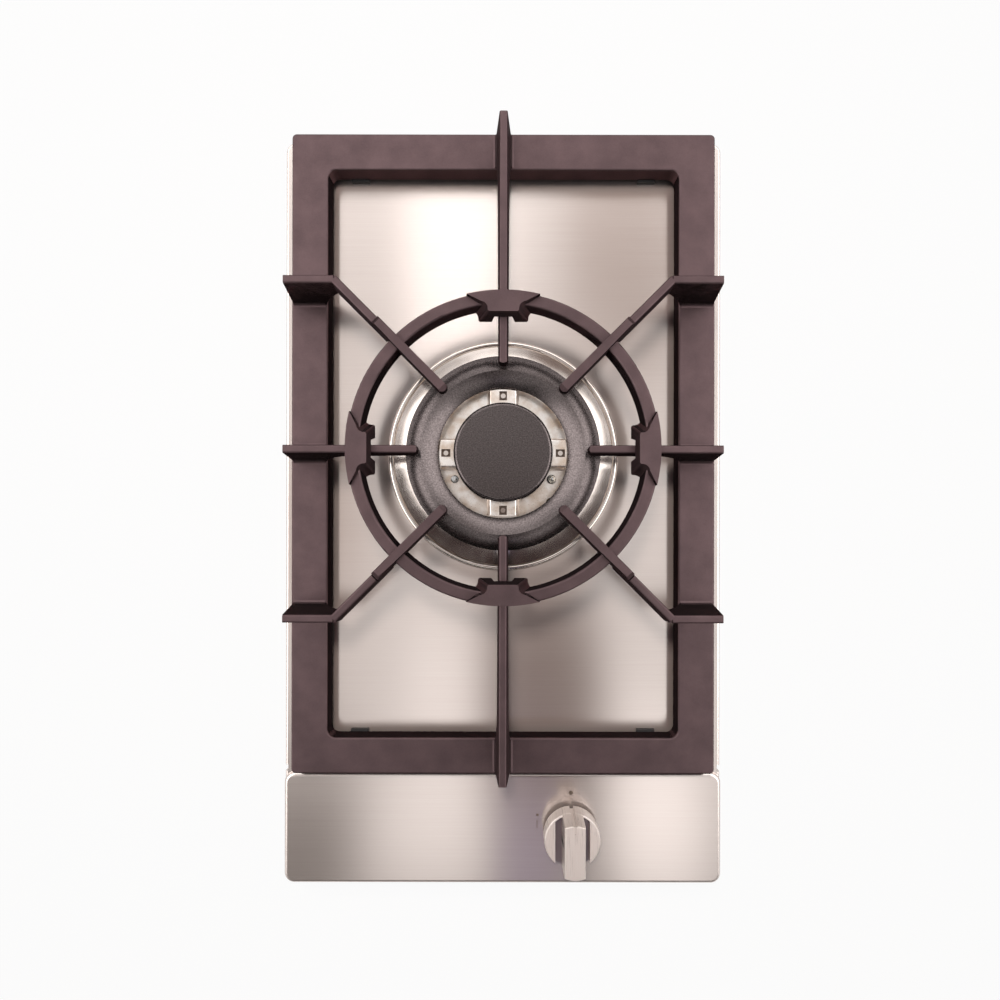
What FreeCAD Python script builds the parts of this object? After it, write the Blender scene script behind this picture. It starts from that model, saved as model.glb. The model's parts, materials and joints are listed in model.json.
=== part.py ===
"""Single burner gas hob: a 30 cm drop-in hob with one dual-ring wok burner.

X runs to the right, Y to the rear and Z up. Z = 0 is the worktop that the seal rests on,
and X = Y = 0 is the middle of the top plate. All sizes are millimetres.
"""
import FreeCAD, Part
import math
import os

V = FreeCAD.Vector
TINY = 1e-4
SLIVER = 0.01

# General clearances
RUNNING_CLEARANCE = 0.05
LOOSE_CLEARANCE = 0.3
CUT_OVERRUN = 1.0

# Top plate: rear cooking area and a raised control strip at the front
PLATE_WIDTH = 300.0
PLATE_LENGTH = 510.0
PLATE_SHEET = 1.0
PLATE_CORNER = 7.0
STEEL_TOP = 6.0
STRIP_RISE = 2.6
STRIP_DEPTH = 76.0
SKIRT_GAP = 1.0
REAR_EDGE_RADIUS = 1.8
STRIP_EDGE_RADIUS = 2.5
NOTCH_WIDTH = 4.5
NOTCH_DEPTH = 2.2

# Worktop seal and burner box
SEAL_WIDTH = 5.0
SEAL_INSET = 4.0
SEAL_CORNER = 6.0
SEAL_INNER_CORNER = 1.0
BOX_SHEET = 1.0
BOX_SIDE_INSET = 18.0
BOX_FRONT_INSET = 18.0
BOX_REAR_INSET = 22.0
BOX_DEPTH = 52.0
BOX_CORNER = 6.0
VENT_LENGTH = 40.0
VENT_WIDTH = 5.0
VENT_PITCH = 14.0
VENT_COUNT = 5

# Weld studs and nuts
STUD_RADIUS = 2.0
STUD_LENGTH = 8.0
NUT_FLATS = 7.0
NUT_HEIGHT = 3.0
BOX_STUD_SPREAD = 180.0

# Worktop clamps
CLAMP_SPREAD = 300.0
CLAMP_WIDTH = 20.0
CLAMP_SHEET = 1.5
CLAMP_TOP = 8.0
CLAMP_DROP = 38.0
CLAMP_REACH = 16.0
CLAMP_SCREW_RADIUS = 2.5
CLAMP_SCREW_LENGTH = 16.0
CLAMP_GRIP_RADIUS = 4.5
CLAMP_GRIP_HEIGHT = 4.0
FIXING_SCREW_RADIUS = 1.9
FIXING_SCREW_LENGTH = 8.0
FIXING_HEAD_RADIUS = 3.5
FIXING_HEAD_HEIGHT = 2.2

# Pan support casting
FRAME_SIDE_INSET = 9.2
FRAME_REAR_INSET = 3.4
FRAME_FRONT_GAP = 4.6
FRAME_BAR = 24.0
FRAME_THICK = 12.0
FRAME_GAP = 3.0
FRAME_OUTER_CORNER = 3.0
FRAME_INNER_CORNER = 5.5
FRAME_EDGE_RADIUS = 1.2
FRAME_WALL = 4.0
FINGER_HEIGHT = 32.0
FINGER_TOP_WIDTH = 5.0
FINGER_BASE_WIDTH = 10.0
FINGER_EDGE_RADIUS = 1.2
FINGER_FLARE = 2.0
FINGER_LEAN = 5.5
FINGER_SETBACK = 1.4
FINGER_INNER_RADIUS = 53.0
FINGER_INNER_DEPTH = 10.0
FINGER_SLOPE = 0.06
FINGER_HAUNCH = 15.0
FINGER_ROOT_DEPTH = 8.0
DIAGONAL_OFFSET = 104.3
DIAGONAL_END_RADIUS = 112.0
TOE_END_RADIUS = 101.0
TOE_DROP = 6.0

# Rubber feet under the pan support
FOOT_LENGTH = 14.0
FOOT_WIDTH = 12.0
FOOT_SPREAD = 196.0
FOOT_PEEK = 1.5
FOOT_STEM = 5.0

# Wok stand casting
WOK_RING_RADIUS = 95.4
WOK_RING_BAND = 7.5
WOK_RING_HEIGHT = 9.5
WOK_RING_DROP = 6.0
WOK_RING_DRAFT = 1.2
WOK_BAR_INNER_RADIUS = 50.0
WOK_BAR_END_GAP = 2.0
WOK_BAR_TOP_WIDTH = 5.2
WOK_BAR_BASE_WIDTH = 6.8
WOK_BAR_OUTER_RISE = 7.8
WOK_BAR_INNER_RISE = 5.2
WOK_BAR_DROP = 4.0
WOK_TAB_WIDTH = 47.0
WOK_TAB_DEPTH = 13.0
WOK_TAB_NOSE = 19.0
WOK_TAB_RISE = 6.4
WOK_TAB_SHOULDER = 27.0
WOK_TAB_SHOULDER_DEPTH = 6.9
WOK_TAB_CORNER = 1.4
WOK_TAB_FLARE = 2.8
WOK_TAB_LEG = 31.0
WOK_TAB_FOOT = 42.0
WOK_NOTCH_WIDTH = 14.4
WOK_NOTCH_ROOF_WIDTH = 11.0

# Burner: cup below the plate, crown and two caps above it
CUP_WALL = 3.0
CUP_RADIUS = 57.0
CUP_HOLE_CLEARANCE = 1.0
CUP_RIM_HEIGHT = 7.0
CUP_FLOOR_Z = -32.0
CUP_FLOOR_THICK = 4.0
CUP_FLANGE_WIDTH = 13.0
CUP_FLANGE_THICK = 3.0
CUP_STUD_OUTSET = 7.0
CROWN_OVERHANG = 2.5
CROWN_BASE = 3.0
CROWN_LIP = 4.0
CROWN_WALL = 2.5
OUTER_CROWN_HEIGHT = 9.0
OUTER_CHANNEL = 10.5
INNER_CROWN_RADIUS = 27.0
INNER_CROWN_WALL = 5.0
INNER_CROWN_HEIGHT = 14.0
BRIDGE_WIDTH = 22.5
BRIDGE_TOP_WIDTH = 18.5
BRIDGE_EDGE_RADIUS = 1.5
BRIDGE_HEIGHT = 11.5
BRIDGE_END_GAP = 1.1
AIR_SLOT_MARGIN = 2.0
AIR_SLOT_WIDTH = 3.6
SENSOR_HOLE_CLEARANCE = 0.6
VENTURI_RADIUS = 9.0
VENTURI_BORE = 6.0
VENTURI_LENGTH = 17.0
SIDE_VENTURI_INSET = 11.5
SIDE_VENTURI_RADIUS = 4.5
SIDE_VENTURI_BORE = 3.2
SIDE_VENTURI_LENGTH = 9.0
SIDE_VENTURI_ANGLE = 315.0
OUTER_PORT_COUNT = 44
INSIDE_PORT_COUNT = 28
INNER_PORT_COUNT = 24
PORT_WIDTH = 1.6
PORT_HEIGHT = 4.0
PIN_RADIUS = 1.6
PIN_INSET = 5.2
PIN_DEPTH = 5.0
PIN_STANDOUT = 2.0
PIN_RECESS_LENGTH = 6.0
PIN_RECESS_WIDTH = 5.0
PIN_RECESS_DEPTH = 2.6
INNER_CAP_RADIUS = 32.0
INNER_CAP_HEIGHT = 6.0
INNER_CAP_EDGE = 2.5
CAP_SPIGOT_DEPTH = 3.0
CAP_SPIGOT_WALL = 2.2
RING_CAP_INNER_LAP = 1.3
RING_CAP_OUTER_LAP = 4.5
RING_CAP_INNER_WIDTH = 10.8
RING_CAP_INNER_MIDDLE = 4.0
RING_CAP_INNER_EDGE = 1.0
RING_CAP_STEP_HEIGHT = 4.6
RING_CAP_RISER = 1.6
RING_CAP_SAG = 1.4
RING_CAP_RIM_HEIGHT = 0.8
RING_CAP_SKIRT = 1.5
RING_CAP_SKIRT_WALL = 2.5

# Polished trim ring round the burner
TRIM_WIDTH = 17.0
TRIM_HOLE_MARGIN = 4.0
TRIM_RIDGE_WIDTH = 4.0
TRIM_RIDGE_HEIGHT = 1.9
TRIM_GROOVE_HEIGHT = 0.9
TRIM_EDGE_HEIGHT = 0.5
TRIM_LIP_HEIGHT = 3.8
TRIM_SAG = 0.4

# Injectors, electrode and thermocouple
PILLAR_RADIUS = 7.2
PILLAR_TOP_Z = -14.0
JET_FLATS = 8.0
JET_HEIGHT = 5.0
JET_TIP_RADIUS = 2.6
JET_TIP_HEIGHT = 3.0
JET_THREAD_RADIUS = 2.5
JET_THREAD_LENGTH = 4.0
JET_ORIFICE = 0.6
DUCT_BORE = 2.4
RISER_BORE = 1.8
SENSOR_OUTSET = 1.0
ELECTRODE_ANGLE = 333.0
THERMOCOUPLE_ANGLE = 207.0
CERAMIC_RADIUS = 2.5
CERAMIC_COLLAR_RADIUS = 4.0
CERAMIC_COLLAR_HEIGHT = 2.0
CERAMIC_TOP_Z = 20.0
ELECTRODE_WIRE_RADIUS = 0.7
ELECTRODE_TIP_Z = 25.5
SENSOR_BOTTOM_Z = -36.0
THERMOCOUPLE_RADIUS = 2.0
THERMOCOUPLE_TIP_RADIUS = 1.5
THERMOCOUPLE_TIP_Z = 26.0
THERMOCOUPLE_SHEATH_Z = 15.0

# Gas tap below the control strip
KNOB_X = 46.6
KNOB_SETBACK = 36.7
TAP_TOP_Z = -12.0
TAP_HEIGHT = 30.0
TAP_RADIUS = 13.0
TAP_EAR_REACH = 20.0
TAP_EAR_WIDTH = 12.0
TAP_EAR_HEIGHT = 8.0
TAP_SCREW_AT = 16.5
TAP_SCREW_RADIUS = 1.9
TAP_SCREW_GRIP = 6.0
PLUG_TOP_RADIUS = 9.0
PLUG_BOTTOM_RADIUS = 7.5
PLUG_HEIGHT = 22.0
PLUG_RECESS = 2.0
PLUG_LEDGE = 1.0
TAP_FLOOR = 3.0
BONNET_THICK = 2.0
SPINDLE_RADIUS = 4.0
SPINDLE_FLAT = 3.0
SPINDLE_END_GAP = 1.0
SPINDLE_SHOULDER_Z = -8.5
TANG_WIDTH = 5.0
TANG_DEPTH = 16.0
OUTLET_SPACING = 16.0
OUTLET_Z = -24.0
OUTLET_REACH = 20.0
OUTLET_RADIUS = 6.5
INLET_Z = -30.0
INLET_REACH = 17.0
INLET_RADIUS = 8.0
MAGNET_RADIUS = 6.5
MAGNET_LENGTH = 20.0
MAGNET_SINK = 1.0
MAGNET_NUT_FLATS = 10.0
MAGNET_NUT_LENGTH = 7.0

# Spindle return spring and ignition switch
PUSH_TRAVEL = 3.0
SPRING_RADIUS = 5.6
SPRING_WIRE = 1.0
SPRING_TURNS = 5
DISC_RADIUS = 14.0
DISC_THICK = 1.5
DISC_Z = 3.0
SWITCH_LENGTH = 20.0
SWITCH_WIDTH = 9.0
SWITCH_HEIGHT = 7.0
SWITCH_AT = 12.5
PLUNGER_RADIUS = 1.6

# Tap bracket on the front wall of the box
BRACKET_SHEET = 1.5
BRACKET_WIDTH = 44.0
BRACKET_REACH = 38.0
BRACKET_DROP = 26.0
BRACKET_HOLE = 9.0
BRACKET_SCREW_SPREAD = 28.0
BRACKET_SCREW_DROP = 14.0

# Gas pipes
TUBE_RADIUS = 4.0
TUBE_BORE = 3.0
TUBE_LEAD = 40.0
TUBE_BEND = 30.0
TUBE_NUT_FLATS = 14.0
TUBE_NUT_LENGTH = 8.0
BOSS_STANDOUT = 9.0
RAIL_RADIUS = 6.0
RAIL_BORE = 5.0
RAIL_BEND = 26.0
INLET_SIDE_GAP = 32.0
INLET_THREAD_RADIUS = 10.478
INLET_THREAD_LENGTH = 15.0
INLET_NECK_RADIUS = 9.3
INLET_NECK_LENGTH = 1.5
INLET_SHANK_RADIUS = 11.5
INLET_HEX_FLATS = 27.0
INLET_HEX_LENGTH = 10.0
LOCKNUT_LENGTH = 5.0

# Battery ignition module on the box floor
MODULE_SIDE_GAP = 12.0
MODULE_REAR_GAP = 53.0
MODULE_WIDTH = 50.0
MODULE_LENGTH = 60.0
MODULE_HEIGHT = 26.0
MODULE_WALL = 2.0
MODULE_LID = 2.0
MODULE_SCREW_RADIUS = 1.4
MODULE_HEAD_RADIUS = 2.6
MODULE_HEAD_HEIGHT = 1.6
MODULE_POST_RADIUS = 3.2
MODULE_POST_INSET = 4.6
MODULE_SCREW_LENGTH = 10.0
BATTERY_RADIUS = 7.2
BATTERY_LENGTH = 50.5
BATTERY_CAP_RADIUS = 2.7
BATTERY_CAP_LENGTH = 1.5
BATTERY_OFFSET = -9.0
BOARD_WIDTH = 16.0
BOARD_LENGTH = 40.0
BOARD_HEIGHT = 9.0
BOARD_OFFSET = 10.0

# Leads, with the places that the longer ones pass on their way
IGNITION_LEAD_RADIUS = 2.0
SWITCH_LEAD_RADIUS = 1.6
CAPILLARY_RADIUS = 1.2
LEAD_DROP = 7.5
LEAD_SOCKET_HEIGHT = 14.0
IGNITION_SOCKET_OFFSET = -8.0
IGNITION_LEAD_TURN = V(12, 24, -9)
IGNITION_LEAD_DIP = V(-14, -36, -3)
IGNITION_LEAD_END = V(0, -16, 0)
SWITCH_SOCKET_OFFSET = 12.0
SWITCH_LEAD_WAY = [V(108, -110, -22), V(112, -50, -30), V(112, 10, -36)]
CAPILLARY_WAY = [V(14, -80, -45), V(54, -128, -45), V(98, -160, -44), V(118, -192, -38)]

# Knob
KNOB_RADIUS = 18.75
KNOB_FLOAT = 3.6
KNOB_HEIGHT = 29.0
KNOB_SHOULDER = 14.0
KNOB_BAR_WIDTH = 13.5
KNOB_GROOVE_WIDTH = 4.8
KNOB_GROOVE_DEPTH = 5.0
KNOB_REAR_WALL = 1.4
KNOB_BAR_LEAN = 1.2
KNOB_EDGE_RADIUS = 1.0
KNOB_SKIRT_WALL = 3.0
KNOB_FLOOR = 1.6
KNOB_POINTER_WIDTH = 2.6
KNOB_POINTER_DEPTH = 0.6
KNOB_MARK_WIDTH = 1.0
KNOB_MARK_DEPTH = 0.5
KNOB_MARK_LENGTH = 5.0
BUSH_RADIUS = 7.0
BUSH_LENGTH = 13.0
SEAL_HOLE_RADIUS = 9.0
SEAL_COLLAR_RADIUS = 11.5
SEAL_COLLAR_HEIGHT = 1.4
SEAL_BORE_CLEARANCE = 0.5

# Heights and places that follow from the sizes above
PLATE_UNDER = STEEL_TOP - PLATE_SHEET
FLANGE_UNDER = PLATE_UNDER - BOX_SHEET
STRIP_TOP = STEEL_TOP + STRIP_RISE
STRIP_UNDER = STRIP_TOP - PLATE_SHEET
FRONT_Y = -PLATE_LENGTH / 2
REAR_Y = PLATE_LENGTH / 2
STRIP_REAR_Y = FRONT_Y + STRIP_DEPTH
KNOB_Y = FRONT_Y + KNOB_SETBACK
BOX_FRONT_Y = FRONT_Y + BOX_FRONT_INSET
BOX_REAR_Y = REAR_Y - BOX_REAR_INSET
BOX_SIDE_X = PLATE_WIDTH / 2 - BOX_SIDE_INSET
BOX_FLOOR_Z = -BOX_DEPTH + BOX_SHEET
SEAL_INSIDE_X = PLATE_WIDTH / 2 - SEAL_INSET - SEAL_WIDTH
BOX_STUD_X = (BOX_SIDE_X + SEAL_INSIDE_X) / 2
INLET_X = INLET_SIDE_GAP - BOX_SIDE_X
MODULE_X = BOX_SIDE_X - MODULE_SIDE_GAP - MODULE_WIDTH / 2
MODULE_Y = BOX_REAR_Y - MODULE_REAR_GAP - MODULE_LENGTH / 2
FRAME_REAR_Y = REAR_Y - FRAME_REAR_INSET
FRAME_FRONT_Y = STRIP_REAR_Y + FRAME_FRONT_GAP
FRAME_WIDTH = PLATE_WIDTH - 2 * FRAME_SIDE_INSET
FRAME_LENGTH = FRAME_REAR_Y - FRAME_FRONT_Y
BURNER_Y = (FRAME_REAR_Y + FRAME_FRONT_Y) / 2
FRAME_BOTTOM = STEEL_TOP + FRAME_GAP
FRAME_TOP = FRAME_BOTTOM + FRAME_THICK
FINGER_TOP = FRAME_TOP + FINGER_HEIGHT
WOK_SEAT = FINGER_TOP + LOOSE_CLEARANCE
CUP_RIM_Z = STEEL_TOP + CUP_RIM_HEIGHT
CROWN_DECK_Z = CUP_RIM_Z + CROWN_BASE
RING_SEAT_Z = CROWN_DECK_Z + OUTER_CROWN_HEIGHT
INNER_SEAT_Z = CROWN_DECK_Z + INNER_CROWN_HEIGHT
BRIDGE_TOP_Z = CROWN_DECK_Z + BRIDGE_HEIGHT
CUP_FLANGE_RADIUS = CUP_RADIUS + CUP_FLANGE_WIDTH
CUP_STUD_RADIUS = CUP_RADIUS + CUP_STUD_OUTSET
BOSS_REACH = CUP_RADIUS + BOSS_STANDOUT
TRIM_INNER_RADIUS = CUP_RADIUS + CUP_HOLE_CLEARANCE + TRIM_HOLE_MARGIN
TRIM_RADIUS = TRIM_INNER_RADIUS + TRIM_WIDTH
SIDE_VENTURI_AT = CUP_RADIUS - SIDE_VENTURI_INSET
CROWN_RADIUS = CUP_RADIUS + CROWN_OVERHANG
OUTER_WALL_INSIDE = CROWN_RADIUS - CROWN_WALL
INSIDE_WALL_OUTSIDE = OUTER_WALL_INSIDE - OUTER_CHANNEL
INSIDE_WALL_INSIDE = INSIDE_WALL_OUTSIDE - CROWN_WALL
RING_CAP_RADIUS = CROWN_RADIUS + RING_CAP_OUTER_LAP
RING_CAP_INNER_RADIUS = INSIDE_WALL_INSIDE - RING_CAP_INNER_LAP
RING_CAP_STEP_RADIUS = RING_CAP_INNER_RADIUS + RING_CAP_INNER_WIDTH
PIN_AT = RING_CAP_INNER_RADIUS - PIN_INSET
SENSOR_AT = (INNER_CROWN_RADIUS + INSIDE_WALL_INSIDE) / 2 + SENSOR_OUTSET
TAP_BOTTOM_Z = TAP_TOP_Z - TAP_HEIGHT
BONNET_TOP_Z = TAP_TOP_Z + BONNET_THICK
BRACKET_TOP_Z = BONNET_TOP_Z + BRACKET_SHEET
PLUG_TOP_Z = TAP_TOP_Z - PLUG_RECESS
SWITCH_TOP_Z = BRACKET_TOP_Z + SWITCH_HEIGHT
KNOB_BOTTOM_Z = STRIP_TOP + KNOB_FLOAT
KNOB_TOP_Z = STRIP_TOP + KNOB_HEIGHT
KNOB_SHOULDER_Z = STRIP_TOP + KNOB_SHOULDER
KNOB_SLOT_Z = KNOB_SHOULDER_Z - KNOB_GROOVE_DEPTH
BUSH_BOTTOM_Z = KNOB_BOTTOM_Z + PUSH_TRAVEL
BUSH_TOP_Z = BUSH_BOTTOM_Z + BUSH_LENGTH
SPINDLE_TOP_Z = BUSH_TOP_Z - SPINDLE_END_GAP
QUARTER_TURNS = (0.0, 90.0, 180.0, 270.0)
DIAGONALS = (45.0, 135.0, 225.0, 315.0)


# Basic shapes

def box(x0, x1, y0, y1, z0, z1):
    """A block between two corners."""
    return Part.makeBox(x1 - x0, y1 - y0, z1 - z0, V(x0, y0, z0))


def rod(radius, start, end):
    """A round bar from one point to another."""
    axis = end.sub(start)
    return Part.makeCylinder(radius, axis.Length, start, axis)


def hex_rod(flats, start, end):
    """A six-sided bar from one point to another."""
    axis = end.sub(start)
    side = axis.cross(V(0, 0, 1))
    if side.Length < TINY:
        side = V(1, 0, 0)
    side.normalize()
    third = axis.cross(side)
    third.normalize()
    corner = flats / math.sqrt(3)
    points = []
    for step in range(7):
        turn = math.radians(60 * step)
        points.append(start + side * (corner * math.cos(turn)) + third * (corner * math.sin(turn)))
    return Part.Face(Part.makePolygon(points)).extrude(axis)


def ring(outer, inner, z0, z1, x=0.0, y=0.0):
    """A flat ring, or a disc where the inner radius is zero."""
    shape = Part.makeCylinder(outer, z1 - z0, V(x, y, z0))
    if inner > 0:
        shape = shape.cut(Part.makeCylinder(inner, z1 - z0, V(x, y, z0)))
    return shape


def closed_wire(points, place):
    """A closed wire. A point of four numbers is reached by an arc through its last two."""
    edges = []
    last = place(points[0][0], points[0][1])
    for point in points[1:] + points[:1]:
        here = place(point[0], point[1])
        closing = point is points[0]
        if len(point) == 4 and not closing:
            edges.append(Part.Arc(last, place(point[2], point[3]), here).toShape())
        elif last.distanceToPoint(here) > TINY:
            edges.append(Part.LineSegment(last, here).toShape())
        last = here
    return Part.Wire(edges)


def turned(points, x=0.0, y=0.0):
    """A solid of revolution about a vertical axis, from (radius, height) points."""
    face = Part.Face(closed_wire(points, lambda radius, height: V(radius, 0, height)))
    solid = face.revolve(V(0, 0, 0), V(0, 0, 1), 360)
    solid.translate(V(x, y, 0))
    return solid


def along_x(points, y0, y1):
    """A prism across Y from an outline of (x, z) points."""
    face = Part.Face(closed_wire(points, lambda x, z: V(x, y0, z)))
    return face.extrude(V(0, y1 - y0, 0))


def along_y(points, x0, x1):
    """A prism across X from an outline of (y, z) points."""
    face = Part.Face(closed_wire(points, lambda y, z: V(x0, y, z)))
    return face.extrude(V(x1 - x0, 0, 0))


def upright(points, z0, z1):
    """A prism along Z from an outline of (x, y) points."""
    face = Part.Face(closed_wire(points, lambda x, y: V(x, y, z0)))
    return face.extrude(V(0, 0, z1 - z0))


def slab(x0, x1, y0, y1, z0, z1, corner):
    """A block with rounded upright edges."""
    near = corner * (1 - math.sqrt(0.5))
    points = [
        (x0 + corner, y0),
        (x1 - corner, y0),
        (x1, y0 + corner, x1 - near, y0 + near),
        (x1, y1 - corner),
        (x1 - corner, y1, x1 - near, y1 - near),
        (x0 + corner, y1),
        (x0, y1 - corner, x0 + near, y1 - near),
        (x0, y0 + corner),
        (x0 + corner, y0, x0 + near, y0 + near),
    ]
    return upright(points, z0, z1)


def round_edges_at(shape, height, radius):
    """Round every edge that lies level at one height."""
    level = []
    for edge in shape.Edges:
        bounds = edge.BoundBox
        if abs(bounds.ZMin - height) < TINY and abs(bounds.ZMax - height) < TINY:
            level.append(edge)
    return shape.makeFillet(radius, level)


def fused(shapes):
    """One solid from several."""
    return shapes[0].multiFuse(shapes[1:]).removeSplitter()


def spun(shape, angle, x=0.0, y=0.0):
    """A copy turned about a vertical axis."""
    copy = shape.copy()
    copy.rotate(V(x, y, 0), V(0, 0, 1), angle)
    return copy


def at_burner(shape):
    """A copy moved from the origin to the burner's axis."""
    copy = shape.copy()
    copy.translate(V(0, BURNER_Y, 0))
    return copy


def around_burner(radius, angle, z):
    """A point at a radius and an angle round the burner."""
    turn = math.radians(angle)
    return V(radius * math.cos(turn), BURNER_Y + radius * math.sin(turn), z)


def screw(shank, head, height, seat, tip):
    """A pan head screw whose head sits at one point and whose shank ends at the other."""
    back = seat.sub(tip)
    back.normalize()
    return rod(head, seat, seat + back * height).fuse(rod(shank, seat, tip)).removeSplitter()


def bent_wire(points, bend):
    """Straight runs joined by tangent arcs, no wider than the runs allow."""
    edges = []
    last = points[0]
    for before, corner, after in zip(points, points[1:], points[2:]):
        back = before.sub(corner)
        ahead = after.sub(corner)
        half = (math.pi - back.getAngle(ahead)) / 2
        room = 0.45 * min(back.Length, ahead.Length)
        reach = min(bend * math.tan(half), room)
        back.normalize()
        ahead.normalize()
        start = corner + back * reach
        end = corner + ahead * reach
        inward = back + ahead
        inward.normalize()
        radius = reach / math.tan(half)
        middle = corner + inward * (radius / math.cos(half) - radius)
        edges.append(Part.LineSegment(last, start).toShape())
        edges.append(Part.Arc(start, middle, end).toShape())
        last = end
    edges.append(Part.LineSegment(last, points[-1]).toShape())
    return Part.Wire(edges)


def bar_along(wire, radius):
    """A round bar swept along a wire."""
    first = wire.Edges[0]
    start = first.valueAt(first.FirstParameter)
    heading = first.tangentAt(first.FirstParameter)
    section = Part.Wire([Part.makeCircle(radius, start, heading)])
    return wire.makePipeShell([section], True, False)


def lead(name, points, radius):
    """A flexible lead with bends as large as its runs allow."""
    wire = bent_wire(points, PLATE_LENGTH)
    shape = bar_along(wire, radius)
    ratio = shape.Volume / (math.pi * radius ** 2 * wire.Length)
    radii = []
    for edge in wire.Edges:
        if hasattr(edge.Curve, "Radius"):
            radii.append(round(edge.Curve.Radius))
    print(name, "length %.0f mm, volume over section times length %.4f" % (wire.Length, ratio), "radii", radii)
    return shape


def hollow_tube(points, radius, bore, bend):
    """A metal pipe with a bore."""
    wire = bent_wire(points, bend)
    return bar_along(wire, radius).cut(bar_along(wire, bore))


# Top plate, seal and box

def top_plate():
    half = PLATE_WIDTH / 2
    inner_half = half - PLATE_SHEET
    overlap_y = STRIP_REAR_Y - STRIP_DEPTH / 3
    rear = slab(-half, half, overlap_y, REAR_Y, SKIRT_GAP, STEEL_TOP, PLATE_CORNER)
    rear = round_edges_at(rear, STEEL_TOP, REAR_EDGE_RADIUS)
    strip = slab(-half, half, FRONT_Y, STRIP_REAR_Y, SKIRT_GAP, STRIP_TOP, PLATE_CORNER)
    strip = round_edges_at(strip, STRIP_TOP, STRIP_EDGE_RADIUS)
    rear_hollow = slab(-inner_half, inner_half, overlap_y, REAR_Y - PLATE_SHEET,
                       0, PLATE_UNDER, PLATE_CORNER - PLATE_SHEET)
    rear_hollow = round_edges_at(rear_hollow, PLATE_UNDER, REAR_EDGE_RADIUS - PLATE_SHEET)
    strip_hollow = slab(-inner_half, inner_half, FRONT_Y + PLATE_SHEET, STRIP_REAR_Y - PLATE_SHEET,
                        0, STRIP_UNDER, PLATE_CORNER - PLATE_SHEET)
    strip_hollow = round_edges_at(strip_hollow, STRIP_UNDER, STRIP_EDGE_RADIUS - PLATE_SHEET)
    plate = rear.fuse(strip).cut(rear_hollow.fuse(strip_hollow))
    cuts = [ring(CUP_RADIUS + CUP_HOLE_CLEARANCE, 0, 0, STRIP_TOP, 0, BURNER_Y)]
    cuts.append(ring(SEAL_HOLE_RADIUS, 0, 0, STRIP_TOP + PLATE_SHEET, KNOB_X, KNOB_Y))
    for side in (-1, 1):
        edge = side * half
        inside = edge - side * NOTCH_DEPTH
        cuts.append(box(min(edge, inside), max(edge, inside), STRIP_REAR_Y,
                        STRIP_REAR_Y + NOTCH_WIDTH, 0, STRIP_TOP))
    return plate.cut(Part.makeCompound(cuts)).removeSplitter()


def seal_outline(inset, z0, z1):
    """A slab with the outline of the seal, drawn in by an inset."""
    half = PLATE_WIDTH / 2 - SEAL_INSET - inset
    end = PLATE_LENGTH / 2 - SEAL_INSET - inset
    return slab(-half, half, -end, end, z0, z1, max(SEAL_CORNER - inset, SEAL_INNER_CORNER))


def worktop_seal():
    return seal_outline(0, 0, FLANGE_UNDER).cut(seal_outline(SEAL_WIDTH, 0, FLANGE_UNDER))


def box_stud_places():
    """Places of the studs that hold the box flange, midway between the box and the seal."""
    places = []
    for side in (-1, 1):
        for step in (-0.5, 0, 0.5):
            places.append(V(side * BOX_STUD_X, BURNER_Y + step * BOX_STUD_SPREAD, PLATE_UNDER))
    return places


def cup_stud_places():
    """Places of the studs that hold the burner cup."""
    return [around_burner(CUP_STUD_RADIUS, angle, PLATE_UNDER) for angle in DIAGONALS]


def weld_studs():
    studs = []
    for place in box_stud_places() + cup_stud_places():
        studs.append(rod(STUD_RADIUS, place, place - V(0, 0, STUD_LENGTH)))
    return Part.makeCompound(studs)


def stud_holes(places):
    """Clearance holes for a set of studs."""
    holes = []
    for place in places:
        holes.append(rod(STUD_RADIUS + LOOSE_CLEARANCE, place, place - V(0, 0, STUD_LENGTH)))
    return Part.makeCompound(holes)


def stud_nuts():
    nuts = []
    cup_under = PLATE_UNDER - CUP_FLANGE_THICK
    for places, top in ((box_stud_places(), FLANGE_UNDER), (cup_stud_places(), cup_under)):
        for place in places:
            start = V(place.x, place.y, top)
            end = start - V(0, 0, NUT_HEIGHT)
            nuts.append(hex_rod(NUT_FLATS, start, end).cut(rod(STUD_RADIUS, start, end)))
    return Part.makeCompound(nuts)


def box_floor_vents():
    """Rows of air slots in the box floor, under the burner."""
    slots = []
    for side in (-1, 1):
        for step in range(VENT_COUNT):
            front = BURNER_Y + (step - (VENT_COUNT - 1) / 2) * VENT_PITCH - VENT_WIDTH / 2
            left = (side - 0.5) * VENT_LENGTH
            slots.append(slab(left, left + VENT_LENGTH, front, front + VENT_WIDTH,
                              -BOX_DEPTH, BOX_FLOOR_Z, VENT_WIDTH / 2 - SLIVER))
    return slots


def burner_box():
    outer = slab(-BOX_SIDE_X, BOX_SIDE_X, BOX_FRONT_Y, BOX_REAR_Y, -BOX_DEPTH, PLATE_UNDER, BOX_CORNER)
    outer = outer.fuse(seal_outline(0, FLANGE_UNDER, PLATE_UNDER))
    hollow = slab(-BOX_SIDE_X + BOX_SHEET, BOX_SIDE_X - BOX_SHEET, BOX_FRONT_Y + BOX_SHEET,
                  BOX_REAR_Y - BOX_SHEET, BOX_FLOOR_Z, PLATE_UNDER, BOX_CORNER - BOX_SHEET)
    cuts = box_floor_vents()
    cuts.append(stud_holes(box_stud_places()))
    cuts.append(rod(INLET_SHANK_RADIUS + LOOSE_CLEARANCE, inlet_point(BOX_REAR_Y - BOX_SHEET),
                    inlet_point(BOX_REAR_Y)))
    for seat, tip in bracket_screw_lines() + clamp_fixing_lines():
        cuts.append(rod(FIXING_SCREW_RADIUS, seat, tip))
    return outer.cut(hollow).cut(Part.makeCompound(cuts)).removeSplitter()


# Worktop clamps on the box sides

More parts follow.
